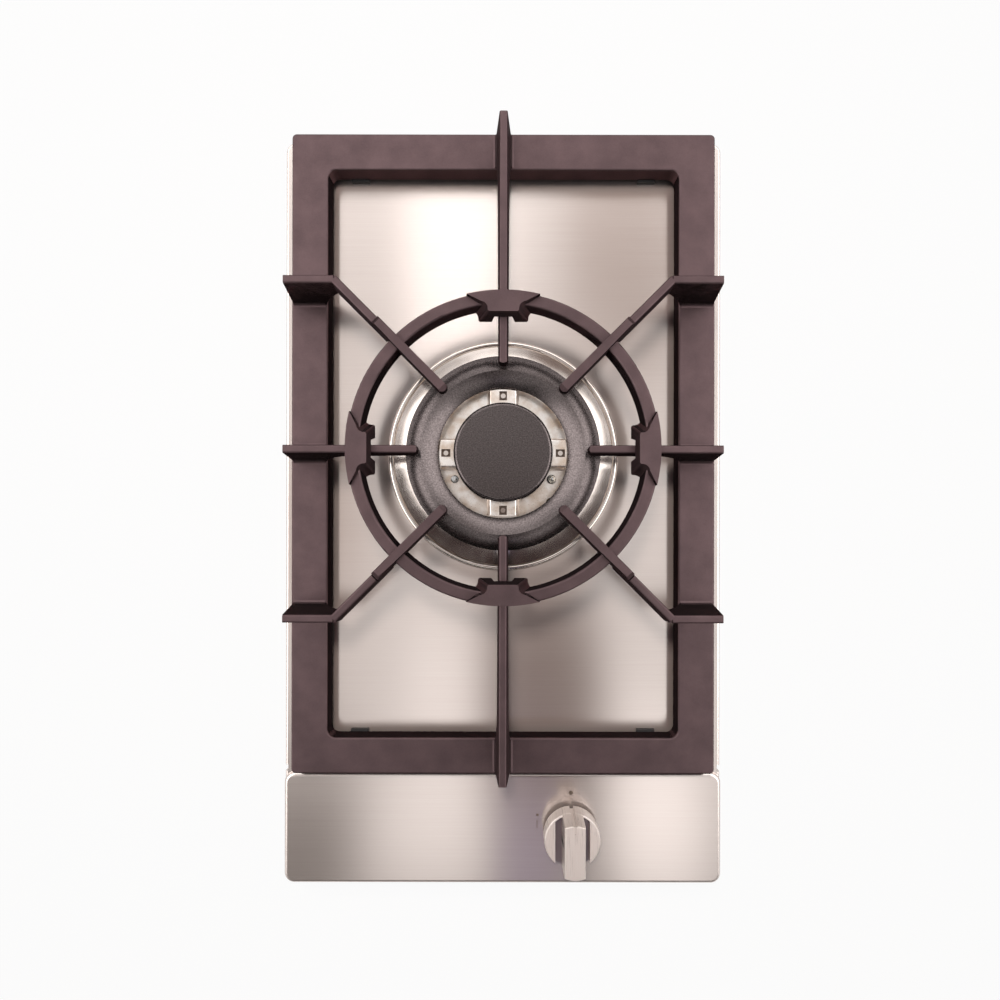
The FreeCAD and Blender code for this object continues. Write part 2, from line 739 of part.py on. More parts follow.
def clamp_places():
    """Side sign and Y of each clamp."""
    places = []
    for side in (-1, 1):
        for end in (-1, 1):
            places.append((side, end * CLAMP_SPREAD / 2))
    return places


def clamp_fixing_lines():
    """Head seat and tip of each screw that holds a clamp on the box."""
    lines = []
    drop = CLAMP_TOP + CLAMP_DROP / 3
    for side, y in clamp_places():
        seat = V(side * (BOX_SIDE_X + CLAMP_SHEET), y, -drop)
        lines.append((seat, seat - V(side * FIXING_SCREW_LENGTH, 0, 0)))
    return lines


def clamp_screw_axis(side, y):
    """Where a clamp's upright screw crosses the underside of its jaw."""
    return V(side * (BOX_SIDE_X + CLAMP_REACH - CLAMP_GRIP_RADIUS), y, -CLAMP_TOP - CLAMP_DROP)


def worktop_clamps():
    clamps = []
    low = -CLAMP_TOP - CLAMP_DROP
    for (side, y), (seat, tip) in zip(clamp_places(), clamp_fixing_lines()):
        wall = side * BOX_SIDE_X
        face = wall + side * CLAMP_SHEET
        reach = wall + side * CLAMP_REACH
        front = y - CLAMP_WIDTH / 2
        rear = y + CLAMP_WIDTH / 2
        plate = box(min(wall, face), max(wall, face), front, rear, low, -CLAMP_TOP)
        jaw = box(min(wall, reach), max(wall, reach), front, rear, low, low + CLAMP_SHEET)
        place = clamp_screw_axis(side, y)
        hole = rod(CLAMP_SCREW_RADIUS, place, place + V(0, 0, CLAMP_SHEET))
        clamp = plate.fuse(jaw).cut(hole).cut(rod(FIXING_SCREW_RADIUS, seat, tip))
        clamps.append(clamp.removeSplitter())
    return Part.makeCompound(clamps)


def clamp_fixing_screws():
    screws = []
    for seat, tip in clamp_fixing_lines():
        screws.append(screw(FIXING_SCREW_RADIUS, FIXING_HEAD_RADIUS, FIXING_HEAD_HEIGHT, seat, tip))
    return Part.makeCompound(screws)


def clamp_screws():
    screws = []
    for side, y in clamp_places():
        seat = clamp_screw_axis(side, y)
        tip = seat + V(0, 0, CLAMP_SCREW_LENGTH)
        screws.append(screw(CLAMP_SCREW_RADIUS, CLAMP_GRIP_RADIUS, CLAMP_GRIP_HEIGHT, seat, tip))
    return Part.makeCompound(screws)


# Pan support

def finger_half_width(height):
    """Half the width of a drafted finger at a height."""
    draft = (FINGER_BASE_WIDTH - FINGER_TOP_WIDTH) / 2 / FINGER_HEIGHT
    return FINGER_TOP_WIDTH / 2 + draft * (FINGER_TOP - height)


def drafted_bar(u0, u1, bottom, top, half_bottom, half_top, edge):
    """A bar along X with drafted sides and rounded top edges."""
    near = edge * (1 - math.sqrt(0.5))
    shoulder = top - edge
    points = [
        (-half_bottom, bottom),
        (half_bottom, bottom),
        (half_top, shoulder),
        (half_top - edge, top, half_top - near, top - near),
        (edge - half_top, top),
        (-half_top, shoulder, near - half_top, top - near),
    ]
    return along_y(points, u0, u1)


def round_tip(bar, start, half):
    """A bar along X whose near end is rounded in plan, given its half width there."""
    radius = half + SLIVER
    low = bar.BoundBox.ZMin - CUT_OVERRUN
    high = bar.BoundBox.ZMax + CUT_OVERRUN
    corners = box(start - CUT_OVERRUN, start + radius, -2 * radius, 2 * radius, low, high)
    return bar.cut(corners.cut(rod(radius, V(start + radius, 0, low), V(start + radius, 0, high))))


def finger_stock(u0, u1):
    """Full-height drafted stock that a finger's side outline is cut from."""
    return drafted_bar(u0, u1, FRAME_BOTTOM, FINGER_TOP, finger_half_width(FRAME_BOTTOM),
                       FINGER_TOP_WIDTH / 2, FINGER_EDGE_RADIUS)


def finger_underside(u):
    """Height of a finger's lower edge at a distance from the burner."""
    return FINGER_TOP - FINGER_INNER_DEPTH - FINGER_SLOPE * (u - FINGER_INNER_RADIUS)


def finger_root(reach):
    """Lower outline of a finger from its haunch, down into the bar and out to its outer end."""
    wall = reach - FRAME_BAR
    haunch = wall - FINGER_HAUNCH
    high = finger_underside(haunch)
    low = FRAME_TOP - FINGER_ROOT_DEPTH
    embed = FRAME_TOP - FRAME_WALL / 2
    return [
        (haunch, high),
        (wall + FRAME_WALL / 2, low, wall - FINGER_HAUNCH / 4, (high + low) / 2 + FINGER_HAUNCH / 5),
        (wall + FRAME_WALL / 2, embed),
        (reach - FINGER_SETBACK, embed),
        (reach - FINGER_SETBACK, FRAME_TOP),
        (reach - FINGER_LEAN, FINGER_TOP),
    ]


def finger_flare(reach):
    """The fillet along a finger's foot on the bar."""
    half = finger_half_width(FRAME_TOP)
    rise = FRAME_TOP + FINGER_FLARE
    near = FINGER_FLARE * (1 - math.sqrt(0.5))
    embed = FRAME_TOP - FRAME_WALL / 2
    wide = half + FINGER_FLARE
    points = [
        (-wide, embed),
        (wide, embed),
        (wide, FRAME_TOP),
        (half - SLIVER, rise, half + near, FRAME_TOP + near),
        (SLIVER - half, rise),
        (-wide, FRAME_TOP, -half - near, FRAME_TOP + near),
    ]
    return along_y(points, reach - FRAME_BAR + FRAME_EDGE_RADIUS, reach - FINGER_SETBACK)


def straight_finger(reach, angle):
    """A finger that points straight at the burner, from the bar at the given reach."""
    wide = FINGER_BASE_WIDTH * 2
    tip_under = finger_underside(FINGER_INNER_RADIUS)
    outline = [(FINGER_INNER_RADIUS, FINGER_TOP), (FINGER_INNER_RADIUS, tip_under)] + finger_root(reach)
    blade = finger_stock(FINGER_INNER_RADIUS, reach).common(along_x(outline, -wide, wide))
    blade = round_tip(blade, FINGER_INNER_RADIUS, finger_half_width(tip_under))
    return spun(blade.fuse(finger_flare(reach)), angle)


def diagonal_finger(side_x, side_y):
    """A finger that crosses the side bar, then turns 45 degrees towards the burner."""
    wide = FINGER_BASE_WIDTH * 2
    reach = FRAME_WIDTH / 2
    bend = DIAGONAL_OFFSET
    bend_radius = bend * math.sqrt(2)
    under = finger_underside(bend)
    outline = [(bend, FINGER_TOP), (bend, under)] + finger_root(reach)
    run = finger_stock(bend, reach).common(along_x(outline, -wide, wide)).fuse(finger_flare(reach))
    run.translate(V(0, bend, 0))
    toe = FINGER_TOP - TOE_DROP
    points = [
        (bend_radius, FINGER_TOP),
        (DIAGONAL_END_RADIUS, FINGER_TOP),
        (DIAGONAL_END_RADIUS, toe),
        (TOE_END_RADIUS, toe),
        (TOE_END_RADIUS, finger_underside(TOE_END_RADIUS)),
        (bend_radius, under),
    ]
    arm = finger_stock(TOE_END_RADIUS, bend_radius).common(along_x(points, -wide, wide))
    arm = spun(arm, 45)
    knuckle_height = FINGER_TOP - FINGER_EDGE_RADIUS - under
    knuckle = Part.makeCone(finger_half_width(under), FINGER_TOP_WIDTH / 2, knuckle_height, V(bend, bend, under))
    whole = fused([run, arm, knuckle])
    if side_x < 0:
        whole = whole.mirror(V(0, 0, 0), V(1, 0, 0))
    if side_y < 0:
        whole = whole.mirror(V(0, 0, 0), V(0, 1, 0))
    return whole


def frame_slab(inset, z0, z1, corner):
    """A slab with the frame's outline, drawn in by an inset."""
    half = FRAME_WIDTH / 2 - inset
    end = FRAME_LENGTH / 2 - inset
    return slab(-half, half, -end, end, z0, z1, corner)


def pan_support():
    frame = frame_slab(0, FRAME_BOTTOM, FRAME_TOP, FRAME_OUTER_CORNER)
    frame = frame.cut(frame_slab(FRAME_BAR, FRAME_BOTTOM, FRAME_TOP, FRAME_INNER_CORNER))
    frame = round_edges_at(frame, FRAME_TOP, FRAME_EDGE_RADIUS)
    web = FRAME_TOP - FRAME_WALL
    groove = frame_slab(FRAME_WALL, FRAME_BOTTOM, web, FRAME_OUTER_CORNER)
    groove = groove.cut(frame_slab(FRAME_BAR - FRAME_WALL, FRAME_BOTTOM, web, FRAME_INNER_CORNER))
    pieces = [frame.cut(groove)]
    for angle, reach in zip(QUARTER_TURNS, (FRAME_WIDTH, FRAME_LENGTH, FRAME_WIDTH, FRAME_LENGTH)):
        pieces.append(straight_finger(reach / 2, angle))
    for side_x in (-1, 1):
        for side_y in (-1, 1):
            pieces.append(diagonal_finger(side_x, side_y))
    return at_burner(fused(pieces))


def pan_support_feet():
    feet = []
    groove_from = FRAME_LENGTH / 2 - FRAME_BAR + FRAME_WALL + LOOSE_CLEARANCE
    inner = FRAME_LENGTH / 2 - FRAME_BAR - FOOT_PEEK
    for side in (-1, 1):
        for end in (-1, 1):
            x = side * FOOT_SPREAD / 2
            near = end * inner
            far = end * (inner + FOOT_LENGTH)
            stem = end * groove_from
            y_low = min(near, far)
            y_high = max(near, far)
            pad = box(x - FOOT_WIDTH / 2, x + FOOT_WIDTH / 2, y_low, y_high, STEEL_TOP, FRAME_BOTTOM)
            plug = box(x - FOOT_WIDTH / 2, x + FOOT_WIDTH / 2, min(stem, far), max(stem, far),
                       STEEL_TOP, FRAME_BOTTOM + FOOT_STEM)
            feet.append(at_burner(pad.fuse(plug).removeSplitter()))
    return Part.makeCompound(feet)


# Wok stand

def wok_bar():
    """One sloping bar along X, before it is turned to its diagonal."""
    outer = DIAGONAL_END_RADIUS - WOK_BAR_END_GAP
    inner = WOK_BAR_INNER_RADIUS
    bottom = WOK_SEAT - WOK_BAR_DROP
    outer_top = WOK_SEAT + WOK_BAR_OUTER_RISE
    inner_top = WOK_SEAT + WOK_BAR_INNER_RISE
    chamfer = WOK_BAR_TOP_WIDTH / 2
    stock = drafted_bar(inner, outer, bottom, outer_top, WOK_BAR_BASE_WIDTH / 2, WOK_BAR_TOP_WIDTH / 2,
                        FINGER_EDGE_RADIUS)
    wide = WOK_BAR_BASE_WIDTH * 2
    points = [
        (inner, bottom),
        (outer, bottom),
        (outer, outer_top - chamfer),
        (outer - chamfer, outer_top),
        (inner + chamfer, inner_top),
        (inner, inner_top - chamfer),
    ]
    return round_tip(stock.common(along_x(points, -wide, wide)), inner, WOK_BAR_BASE_WIDTH / 2)


def wok_tab_outline(z, nose, nose_half, shoulder, shoulder_half):
    """A tab's bell-shaped outline at one height, with two hollow shoulders and a blunt nose."""
    rim = WOK_RING_RADIUS + CUT_OVERRUN
    half = WOK_TAB_WIDTH / 2
    edge = math.sqrt(rim ** 2 - half ** 2)
    turn = 1 - math.sqrt(0.5)
    corner = nose + WOK_TAB_CORNER
    nose_end = nose_half - WOK_TAB_CORNER
    round_x = nose + turn * WOK_TAB_CORNER
    round_y = nose_half - turn * WOK_TAB_CORNER
    hollow_x = shoulder - turn * (shoulder - corner)
    hollow_y = nose_half + turn * (shoulder_half - nose_half)
    points = [
        (nose, -nose_end),
        (corner, -nose_half, round_x, -round_y),
        (shoulder, -shoulder_half, hollow_x, -hollow_y),
        (edge, -half),
        (edge, half, rim, 0),
        (shoulder, shoulder_half),
        (corner, nose_half, hollow_x, hollow_y),
        (nose, nose_end, round_x, round_y),
    ]
    return closed_wire(points, lambda x, y: V(x, y, z))


def wok_tab():
    """One raised tab on the +X side of the ring, which rides over a finger and widens downwards."""
    outer = WOK_RING_RADIUS
    bottom = WOK_SEAT - WOK_RING_DROP
    top = WOK_SEAT + WOK_TAB_RISE
    nose = outer - WOK_TAB_DEPTH
    shoulder = outer - WOK_TAB_SHOULDER_DEPTH
    foot = outer - WOK_RING_BAND - WOK_RING_DRAFT
    low = wok_tab_outline(bottom, nose - WOK_TAB_FLARE, WOK_TAB_LEG / 2, foot, WOK_TAB_FOOT / 2)
    high = wok_tab_outline(top, nose, WOK_TAB_NOSE / 2, shoulder, WOK_TAB_SHOULDER / 2)
    return Part.makeLoft([low, high], True, True).common(ring(outer, 0, bottom, top))


def wok_notch():
    """The notch that lets a tab straddle a finger."""
    bottom = WOK_SEAT - WOK_RING_DROP
    wide = WOK_NOTCH_WIDTH / 2
    roof = WOK_NOTCH_ROOF_WIDTH / 2
    points = [(-wide, bottom), (wide, bottom), (roof, WOK_SEAT), (-roof, WOK_SEAT)]
    start = WOK_RING_RADIUS - WOK_TAB_DEPTH - WOK_TAB_FLARE - CUT_OVERRUN
    return along_y(points, start, WOK_RING_RADIUS + CUT_OVERRUN)


def wok_ring():
    """The ring that joins bars and tabs, its inner side drafted."""
    bottom = WOK_SEAT - WOK_RING_DROP
    top = bottom + WOK_RING_HEIGHT
    outer = WOK_RING_RADIUS
    inner = outer - WOK_RING_BAND
    band = turned([(inner - WOK_RING_DRAFT, bottom), (outer, bottom), (outer, top), (inner, top)])
    return round_edges_at(band, top, FINGER_EDGE_RADIUS)


def wok_stand():
    pieces = [wok_ring()]
    for angle in DIAGONALS:
        pieces.append(spun(wok_bar(), angle))
    for angle in QUARTER_TURNS:
        pieces.append(spun(wok_tab(), angle))
    stand = fused(pieces)
    notches = [spun(wok_notch(), angle) for angle in QUARTER_TURNS]
    return at_burner(stand.cut(Part.makeCompound(notches)).removeSplitter())


# Burner

def burner_trim_ring():
    """A hollow cone that falls outwards to a groove, and a low round ridge along its rim."""
    groove = STEEL_TOP + TRIM_GROOVE_HEIGHT
    ridge = STEEL_TOP + TRIM_RIDGE_HEIGHT
    lip = STEEL_TOP + TRIM_LIP_HEIGHT
    rim = TRIM_RADIUS
    valley = rim - TRIM_RIDGE_WIDTH
    middle = (TRIM_INNER_RADIUS + valley) / 2
    points = [
        (TRIM_INNER_RADIUS, STEEL_TOP),
        (TRIM_INNER_RADIUS, lip),
        (valley, groove, middle, (lip + groove) / 2 - TRIM_SAG),
        (rim, STEEL_TOP + TRIM_EDGE_HEIGHT, (valley + rim) / 2, ridge),
        (rim, STEEL_TOP),
    ]
    return turned(points, 0, BURNER_Y)


def burner_cup():
    inside = CUP_RADIUS - CUP_WALL
    floor_top = CUP_FLOOR_Z + CUP_FLOOR_THICK
    wall = ring(CUP_RADIUS, inside, CUP_FLOOR_Z, CUP_RIM_Z, 0, BURNER_Y)
    floor = ring(CUP_RADIUS, 0, CUP_FLOOR_Z, floor_top, 0, BURNER_Y)
    flange = ring(CUP_FLANGE_RADIUS, inside, PLATE_UNDER - CUP_FLANGE_THICK, PLATE_UNDER, 0, BURNER_Y)
    solid = [wall, floor, flange]
    cuts = [stud_holes(cup_stud_places())]
    for pillar in (inner_pillar(), outer_pillar()):
        foot = V(pillar.x, pillar.y, floor_top)
        mouth = V(pillar.x, BURNER_Y - BOSS_REACH, OUTLET_Z)
        end = V(pillar.x, pillar.y, OUTLET_Z)
        solid.append(rod(PILLAR_RADIUS, foot - V(0, 0, CUP_FLOOR_THICK / 2), pillar))
        solid.append(rod(OUTLET_RADIUS, mouth, end))
        cuts.append(rod(DUCT_BORE, mouth, end))
        cuts.append(rod(JET_THREAD_RADIUS, pillar - V(0, 0, JET_THREAD_LENGTH), pillar))
        cuts.append(rod(RISER_BORE, end, pillar))
    cuts.append(rod(CERAMIC_RADIUS, sensor(ELECTRODE_ANGLE, CUP_FLOOR_Z), sensor(ELECTRODE_ANGLE, floor_top)))
    cuts.append(rod(THERMOCOUPLE_RADIUS, sensor(THERMOCOUPLE_ANGLE, CUP_FLOOR_Z),
                    sensor(THERMOCOUPLE_ANGLE, floor_top)))
    cup = fused(solid)
    for cut in cuts:
        cup = cup.cut(cut)
    return cup.removeSplitter()


def inner_pillar():
    """Top of the pillar under the inner injector."""
    return V(0, BURNER_Y, PILLAR_TOP_Z)


def outer_pillar():
    """Top of the pillar under the outer injector."""
    return around_burner(SIDE_VENTURI_AT, SIDE_VENTURI_ANGLE, PILLAR_TOP_Z)


def injector(place):
    """A brass jet screwed into its pillar."""
    hex_top = place + V(0, 0, JET_HEIGHT)
    tip = hex_top + V(0, 0, JET_TIP_HEIGHT)
    foot = place - V(0, 0, JET_THREAD_LENGTH)
    pieces = [hex_rod(JET_FLATS, place, hex_top), rod(JET_TIP_RADIUS, hex_top, tip)]
    pieces.append(rod(JET_THREAD_RADIUS, foot, place))
    return fused(pieces).cut(rod(JET_ORIFICE, foot, tip))


def inner_injector():
    return injector(inner_pillar())


def outer_injector():
    return injector(outer_pillar())


def radial_ports(count, r0, r1, z0, z1):
    """Slots that run outwards, evenly spaced round the burner."""
    slots = []
    slot = box(r0 - CUT_OVERRUN, r1 + CUT_OVERRUN, -PORT_WIDTH / 2, PORT_WIDTH / 2, z0, z1)
    for step in range(count):
        slots.append(spun(slot, (step + 0.5) * 360.0 / count))
    return slots


def bridge():
    """One bridge along X between the inner and the outer crown, its end curved like the ring cap."""
    half = BRIDGE_TOP_WIDTH / 2
    start = INNER_CROWN_RADIUS - INNER_CROWN_WALL / 2
    curve = RING_CAP_INNER_RADIUS - BRIDGE_END_GAP
    end = INSIDE_WALL_INSIDE + CROWN_WALL / 2
    low = box(curve - CROWN_WALL, end, -half, half, CUP_RIM_Z, RING_SEAT_Z - CROWN_WALL)
    high = drafted_bar(start, end, CUP_RIM_Z, BRIDGE_TOP_Z, BRIDGE_WIDTH / 2, half, BRIDGE_EDGE_RADIUS)
    high = high.common(ring(curve, 0, CUP_RIM_Z, BRIDGE_TOP_Z))
    recess = box(PIN_AT - PIN_RECESS_LENGTH / 2, PIN_AT + PIN_RECESS_LENGTH / 2, -PIN_RECESS_WIDTH / 2,
                 PIN_RECESS_WIDTH / 2, BRIDGE_TOP_Z - PIN_RECESS_DEPTH, BRIDGE_TOP_Z)
    return low.fuse(high).cut(recess)


def crown_pin():
    """One stud that stands in a bridge's recess."""
    floor = BRIDGE_TOP_Z - PIN_RECESS_DEPTH
    return rod(PIN_RADIUS, V(PIN_AT, 0, floor - PIN_DEPTH), V(PIN_AT, 0, floor + PIN_STANDOUT))


def crown_pins():
    return Part.makeCompound([at_burner(spun(crown_pin(), angle)) for angle in QUARTER_TURNS])


def sensor_holes():
    """Openings in the crown's deck for the electrode and the thermocouple."""
    holes = []
    for angle, radius in ((ELECTRODE_ANGLE, CERAMIC_RADIUS), (THERMOCOUPLE_ANGLE, THERMOCOUPLE_RADIUS)):
        hole = rod(radius + SENSOR_HOLE_CLEARANCE, V(SENSOR_AT, 0, CUP_RIM_Z), V(SENSOR_AT, 0, CROWN_DECK_Z))
        holes.append(spun(hole, angle))
    return holes


def air_slots():
    """Narrow openings through the crown's deck under the inner cap's edge, between the bridges."""
    inside = INNER_CROWN_RADIUS + AIR_SLOT_MARGIN
    slot = ring(inside + AIR_SLOT_WIDTH, inside, CUP_RIM_Z, CROWN_DECK_Z)
    half = BRIDGE_WIDTH / 2 + AIR_SLOT_MARGIN / 2
    reach = CROWN_RADIUS
    across = box(-reach, reach, -half, half, CUP_RIM_Z, CROWN_DECK_Z)
    return slot.cut(across).cut(spun(across, 90))


def flame_crown():
    inner_wall = INNER_CROWN_RADIUS - INNER_CROWN_WALL
    lip_outside = CUP_RADIUS - CUP_WALL - LOOSE_CLEARANCE
    turn = math.radians(SIDE_VENTURI_ANGLE)
    side_x = SIDE_VENTURI_AT * math.cos(turn)
    side_y = SIDE_VENTURI_AT * math.sin(turn)
    pieces = [
        ring(CROWN_RADIUS, VENTURI_BORE, CUP_RIM_Z, CROWN_DECK_Z),
        ring(VENTURI_RADIUS, VENTURI_BORE, CUP_RIM_Z - VENTURI_LENGTH, CROWN_DECK_Z),
        ring(INNER_CROWN_RADIUS, inner_wall, CROWN_DECK_Z, INNER_SEAT_Z),
        ring(INSIDE_WALL_OUTSIDE, INSIDE_WALL_INSIDE, CROWN_DECK_Z, RING_SEAT_Z),
        ring(CROWN_RADIUS, OUTER_WALL_INSIDE, CROWN_DECK_Z, RING_SEAT_Z),
        ring(lip_outside, lip_outside - CROWN_WALL, CUP_RIM_Z - CROWN_LIP, CUP_RIM_Z),
        ring(SIDE_VENTURI_RADIUS, 0, CUP_RIM_Z - SIDE_VENTURI_LENGTH, CUP_RIM_Z, side_x, side_y),
    ]
    pieces = pieces + [spun(bridge(), angle) for angle in QUARTER_TURNS]
    cuts = [air_slots()] + sensor_holes()
    cuts.append(ring(SIDE_VENTURI_BORE, 0, CUP_RIM_Z - SIDE_VENTURI_LENGTH, CROWN_DECK_Z, side_x, side_y))
    cuts = cuts + [spun(crown_pin(), angle) for angle in QUARTER_TURNS]
    low = RING_SEAT_Z - PORT_HEIGHT
    top = INNER_SEAT_Z - PORT_HEIGHT
    cuts = cuts + radial_ports(OUTER_PORT_COUNT, OUTER_WALL_INSIDE, CROWN_RADIUS, low, RING_SEAT_Z)
    cuts = cuts + radial_ports(INSIDE_PORT_COUNT, INSIDE_WALL_INSIDE, INSIDE_WALL_OUTSIDE, low, RING_SEAT_Z)
    cuts = cuts + radial_ports(INNER_PORT_COUNT, inner_wall, INNER_CROWN_RADIUS, top, INNER_SEAT_Z)
    crown = fused(pieces)
    for cut in cuts:
        crown = crown.cut(cut)
    return at_burner(crown.removeSplitter())


def inner_cap():
    spigot = INNER_CROWN_RADIUS - INNER_CROWN_WALL - LOOSE_CLEARANCE
    edge = INNER_CAP_EDGE
    near = edge * (1 - math.sqrt(0.5))
    top = INNER_SEAT_Z + INNER_CAP_HEIGHT
    points = [
        (0, INNER_SEAT_Z + CAP_SPIGOT_DEPTH / 3),
        (spigot - CAP_SPIGOT_WALL, INNER_SEAT_Z + CAP_SPIGOT_DEPTH / 3),
        (spigot - CAP_SPIGOT_WALL, INNER_SEAT_Z - CAP_SPIGOT_DEPTH),
        (spigot, INNER_SEAT_Z - CAP_SPIGOT_DEPTH),
        (spigot, INNER_SEAT_Z),
        (INNER_CAP_RADIUS, INNER_SEAT_Z),
        (INNER_CAP_RADIUS, top - edge),
        (INNER_CAP_RADIUS - edge, top, INNER_CAP_RADIUS - near, top - near),
        (0, top),
    ]
    return turned(points, 0, BURNER_Y)


def outer_ring_cap():
    seat = RING_SEAT_Z
    inner = RING_CAP_INNER_RADIUS
    step = RING_CAP_STEP_RADIUS
    rim = RING_CAP_RADIUS
    spigot = INSIDE_WALL_OUTSIDE + LOOSE_CLEARANCE
    slope_top = seat + RING_CAP_STEP_HEIGHT
    middle = (inner + step) / 2
    points = [
        (inner, seat),
        (spigot, seat),
        (spigot, seat - CAP_SPIGOT_DEPTH),
        (spigot + CAP_SPIGOT_WALL, seat - CAP_SPIGOT_DEPTH),
        (spigot + CAP_SPIGOT_WALL, seat),
        (rim - RING_CAP_SKIRT_WALL, seat),
        (rim - RING_CAP_SKIRT_WALL, seat - RING_CAP_SKIRT),
        (rim, seat - RING_CAP_SKIRT),
        (rim, seat + RING_CAP_RIM_HEIGHT),
        (step, slope_top, (rim + step) / 2, slope_top - RING_CAP_SAG),
        (step, slope_top + RING_CAP_RISER),
        (inner, seat + RING_CAP_INNER_EDGE, middle, seat + RING_CAP_INNER_MIDDLE),
    ]
    return turned(points, 0, BURNER_Y)


def sensor(angle, z):
    """A point on the circle where the electrode and the thermocouple stand."""
    return around_burner(SENSOR_AT, angle, z)


def spark_electrode_ceramic():
    floor_top = CUP_FLOOR_Z + CUP_FLOOR_THICK
    foot = sensor(ELECTRODE_ANGLE, SENSOR_BOTTOM_Z)
    body = rod(CERAMIC_RADIUS, foot, sensor(ELECTRODE_ANGLE, CERAMIC_TOP_Z))
    collar = rod(CERAMIC_COLLAR_RADIUS, sensor(ELECTRODE_ANGLE, floor_top),
                 sensor(ELECTRODE_ANGLE, floor_top + CERAMIC_COLLAR_HEIGHT))
    wire = rod(ELECTRODE_WIRE_RADIUS, foot, sensor(ELECTRODE_ANGLE, CERAMIC_TOP_Z))
    return body.fuse(collar).cut(wire).removeSplitter()


def spark_electrode_wire():
    return rod(ELECTRODE_WIRE_RADIUS, sensor(ELECTRODE_ANGLE, SENSOR_BOTTOM_Z),
               sensor(ELECTRODE_ANGLE, ELECTRODE_TIP_Z))


def thermocouple():
    floor_top = CUP_FLOOR_Z + CUP_FLOOR_THICK
    sheath = rod(THERMOCOUPLE_RADIUS, sensor(THERMOCOUPLE_ANGLE, SENSOR_BOTTOM_Z),
                 sensor(THERMOCOUPLE_ANGLE, THERMOCOUPLE_SHEATH_Z))
    tip = rod(THERMOCOUPLE_TIP_RADIUS, sensor(THERMOCOUPLE_ANGLE, THERMOCOUPLE_SHEATH_Z),
              sensor(THERMOCOUPLE_ANGLE, THERMOCOUPLE_TIP_Z))
    collar = rod(CERAMIC_COLLAR_RADIUS, sensor(THERMOCOUPLE_ANGLE, floor_top),
                 sensor(THERMOCOUPLE_ANGLE, floor_top + CERAMIC_COLLAR_HEIGHT))
    return fused([sheath, tip, collar])


# Gas tap, spindle and switch

def on_tap(x, y, z):
    """A point given from the tap's axis."""
    return V(KNOB_X + x, KNOB_Y + y, z)


def tap_screw_places():
    return [on_tap(side * TAP_SCREW_AT, 0, BRACKET_TOP_Z) for side in (-1, 1)]


def tap_ears(z0, z1):
    """The outline of the tap's two screw ears."""
    return slab(KNOB_X - TAP_EAR_REACH, KNOB_X + TAP_EAR_REACH, KNOB_Y - TAP_EAR_WIDTH / 2,
                KNOB_Y + TAP_EAR_WIDTH / 2, z0, z1, TAP_EAR_WIDTH / 3)


def tap_screw_lines():
    """Head seat and tip of each screw that holds the bracket and the bonnet on the tap."""
    drop = V(0, 0, BRACKET_SHEET + BONNET_THICK + TAP_SCREW_GRIP)
    return [(place, place - drop) for place in tap_screw_places()]


def tap_screw_holes():
    return Part.makeCompound([rod(TAP_SCREW_RADIUS, seat, tip) for seat, tip in tap_screw_lines()])


def outlet_xs():
    """X of the inner and the outer flame's outlet."""
    return (KNOB_X - OUTLET_SPACING / 2, KNOB_X + OUTLET_SPACING / 2)


def gas_tap_body():
    pieces = [ring(TAP_RADIUS, 0, TAP_BOTTOM_Z, TAP_TOP_Z, KNOB_X, KNOB_Y)]
    pieces.append(tap_ears(TAP_TOP_Z - TAP_EAR_HEIGHT, TAP_TOP_Z))
    pieces.append(rod(INLET_RADIUS, on_tap(-INLET_REACH, 0, INLET_Z), on_tap(0, 0, INLET_Z)))
    for x in outlet_xs():
        pieces.append(rod(OUTLET_RADIUS, V(x, KNOB_Y, OUTLET_Z), V(x, KNOB_Y + OUTLET_REACH, OUTLET_Z)))
    cavity = Part.makeCone(PLUG_BOTTOM_RADIUS + RUNNING_CLEARANCE, PLUG_TOP_RADIUS + RUNNING_CLEARANCE,
                           PLUG_HEIGHT, on_tap(0, 0, PLUG_TOP_Z - PLUG_HEIGHT))
    mouth = ring(PLUG_TOP_RADIUS + RUNNING_CLEARANCE, 0, PLUG_TOP_Z, TAP_TOP_Z, KNOB_X, KNOB_Y)
    below = ring(PLUG_BOTTOM_RADIUS - PLUG_LEDGE, 0, TAP_BOTTOM_Z + TAP_FLOOR, PLUG_TOP_Z - PLUG_HEIGHT,
                 KNOB_X, KNOB_Y)
    cuts = [cavity, mouth, below, tap_screw_holes()]
    cuts.append(rod(RAIL_BORE, on_tap(-INLET_REACH, 0, INLET_Z), on_tap(0, 0, INLET_Z)))
    for x in outlet_xs():
        cuts.append(rod(DUCT_BORE, V(x, KNOB_Y, OUTLET_Z), V(x, KNOB_Y + OUTLET_REACH, OUTLET_Z)))
    body = fused(pieces)
    for cut in cuts:
        body = body.cut(cut)
    return body.removeSplitter()


def tap_bonnet():
    disc = ring(TAP_RADIUS, 0, TAP_TOP_Z, BONNET_TOP_Z, KNOB_X, KNOB_Y)
    plate = tap_ears(TAP_TOP_Z, BONNET_TOP_Z).fuse(disc)
    bore = ring(SPINDLE_RADIUS + RUNNING_CLEARANCE, 0, TAP_TOP_Z, BONNET_TOP_Z, KNOB_X, KNOB_Y)
    return plate.cut(bore).cut(tap_screw_holes()).removeSplitter()


def tap_plug():
    low = PLUG_TOP_Z - PLUG_HEIGHT
    cone = Part.makeCone(PLUG_BOTTOM_RADIUS, PLUG_TOP_RADIUS, PLUG_HEIGHT, on_tap(0, 0, low))
    half = TANG_WIDTH / 2 + RUNNING_CLEARANCE
    slot = box(KNOB_X - half, KNOB_X + half, KNOB_Y - half, KNOB_Y + half, low, PLUG_TOP_Z)
    port = rod(DUCT_BORE, on_tap(0, TANG_WIDTH / 2, OUTLET_Z), on_tap(0, PLUG_TOP_RADIUS, OUTLET_Z))
    return cone.cut(slot).cut(port)


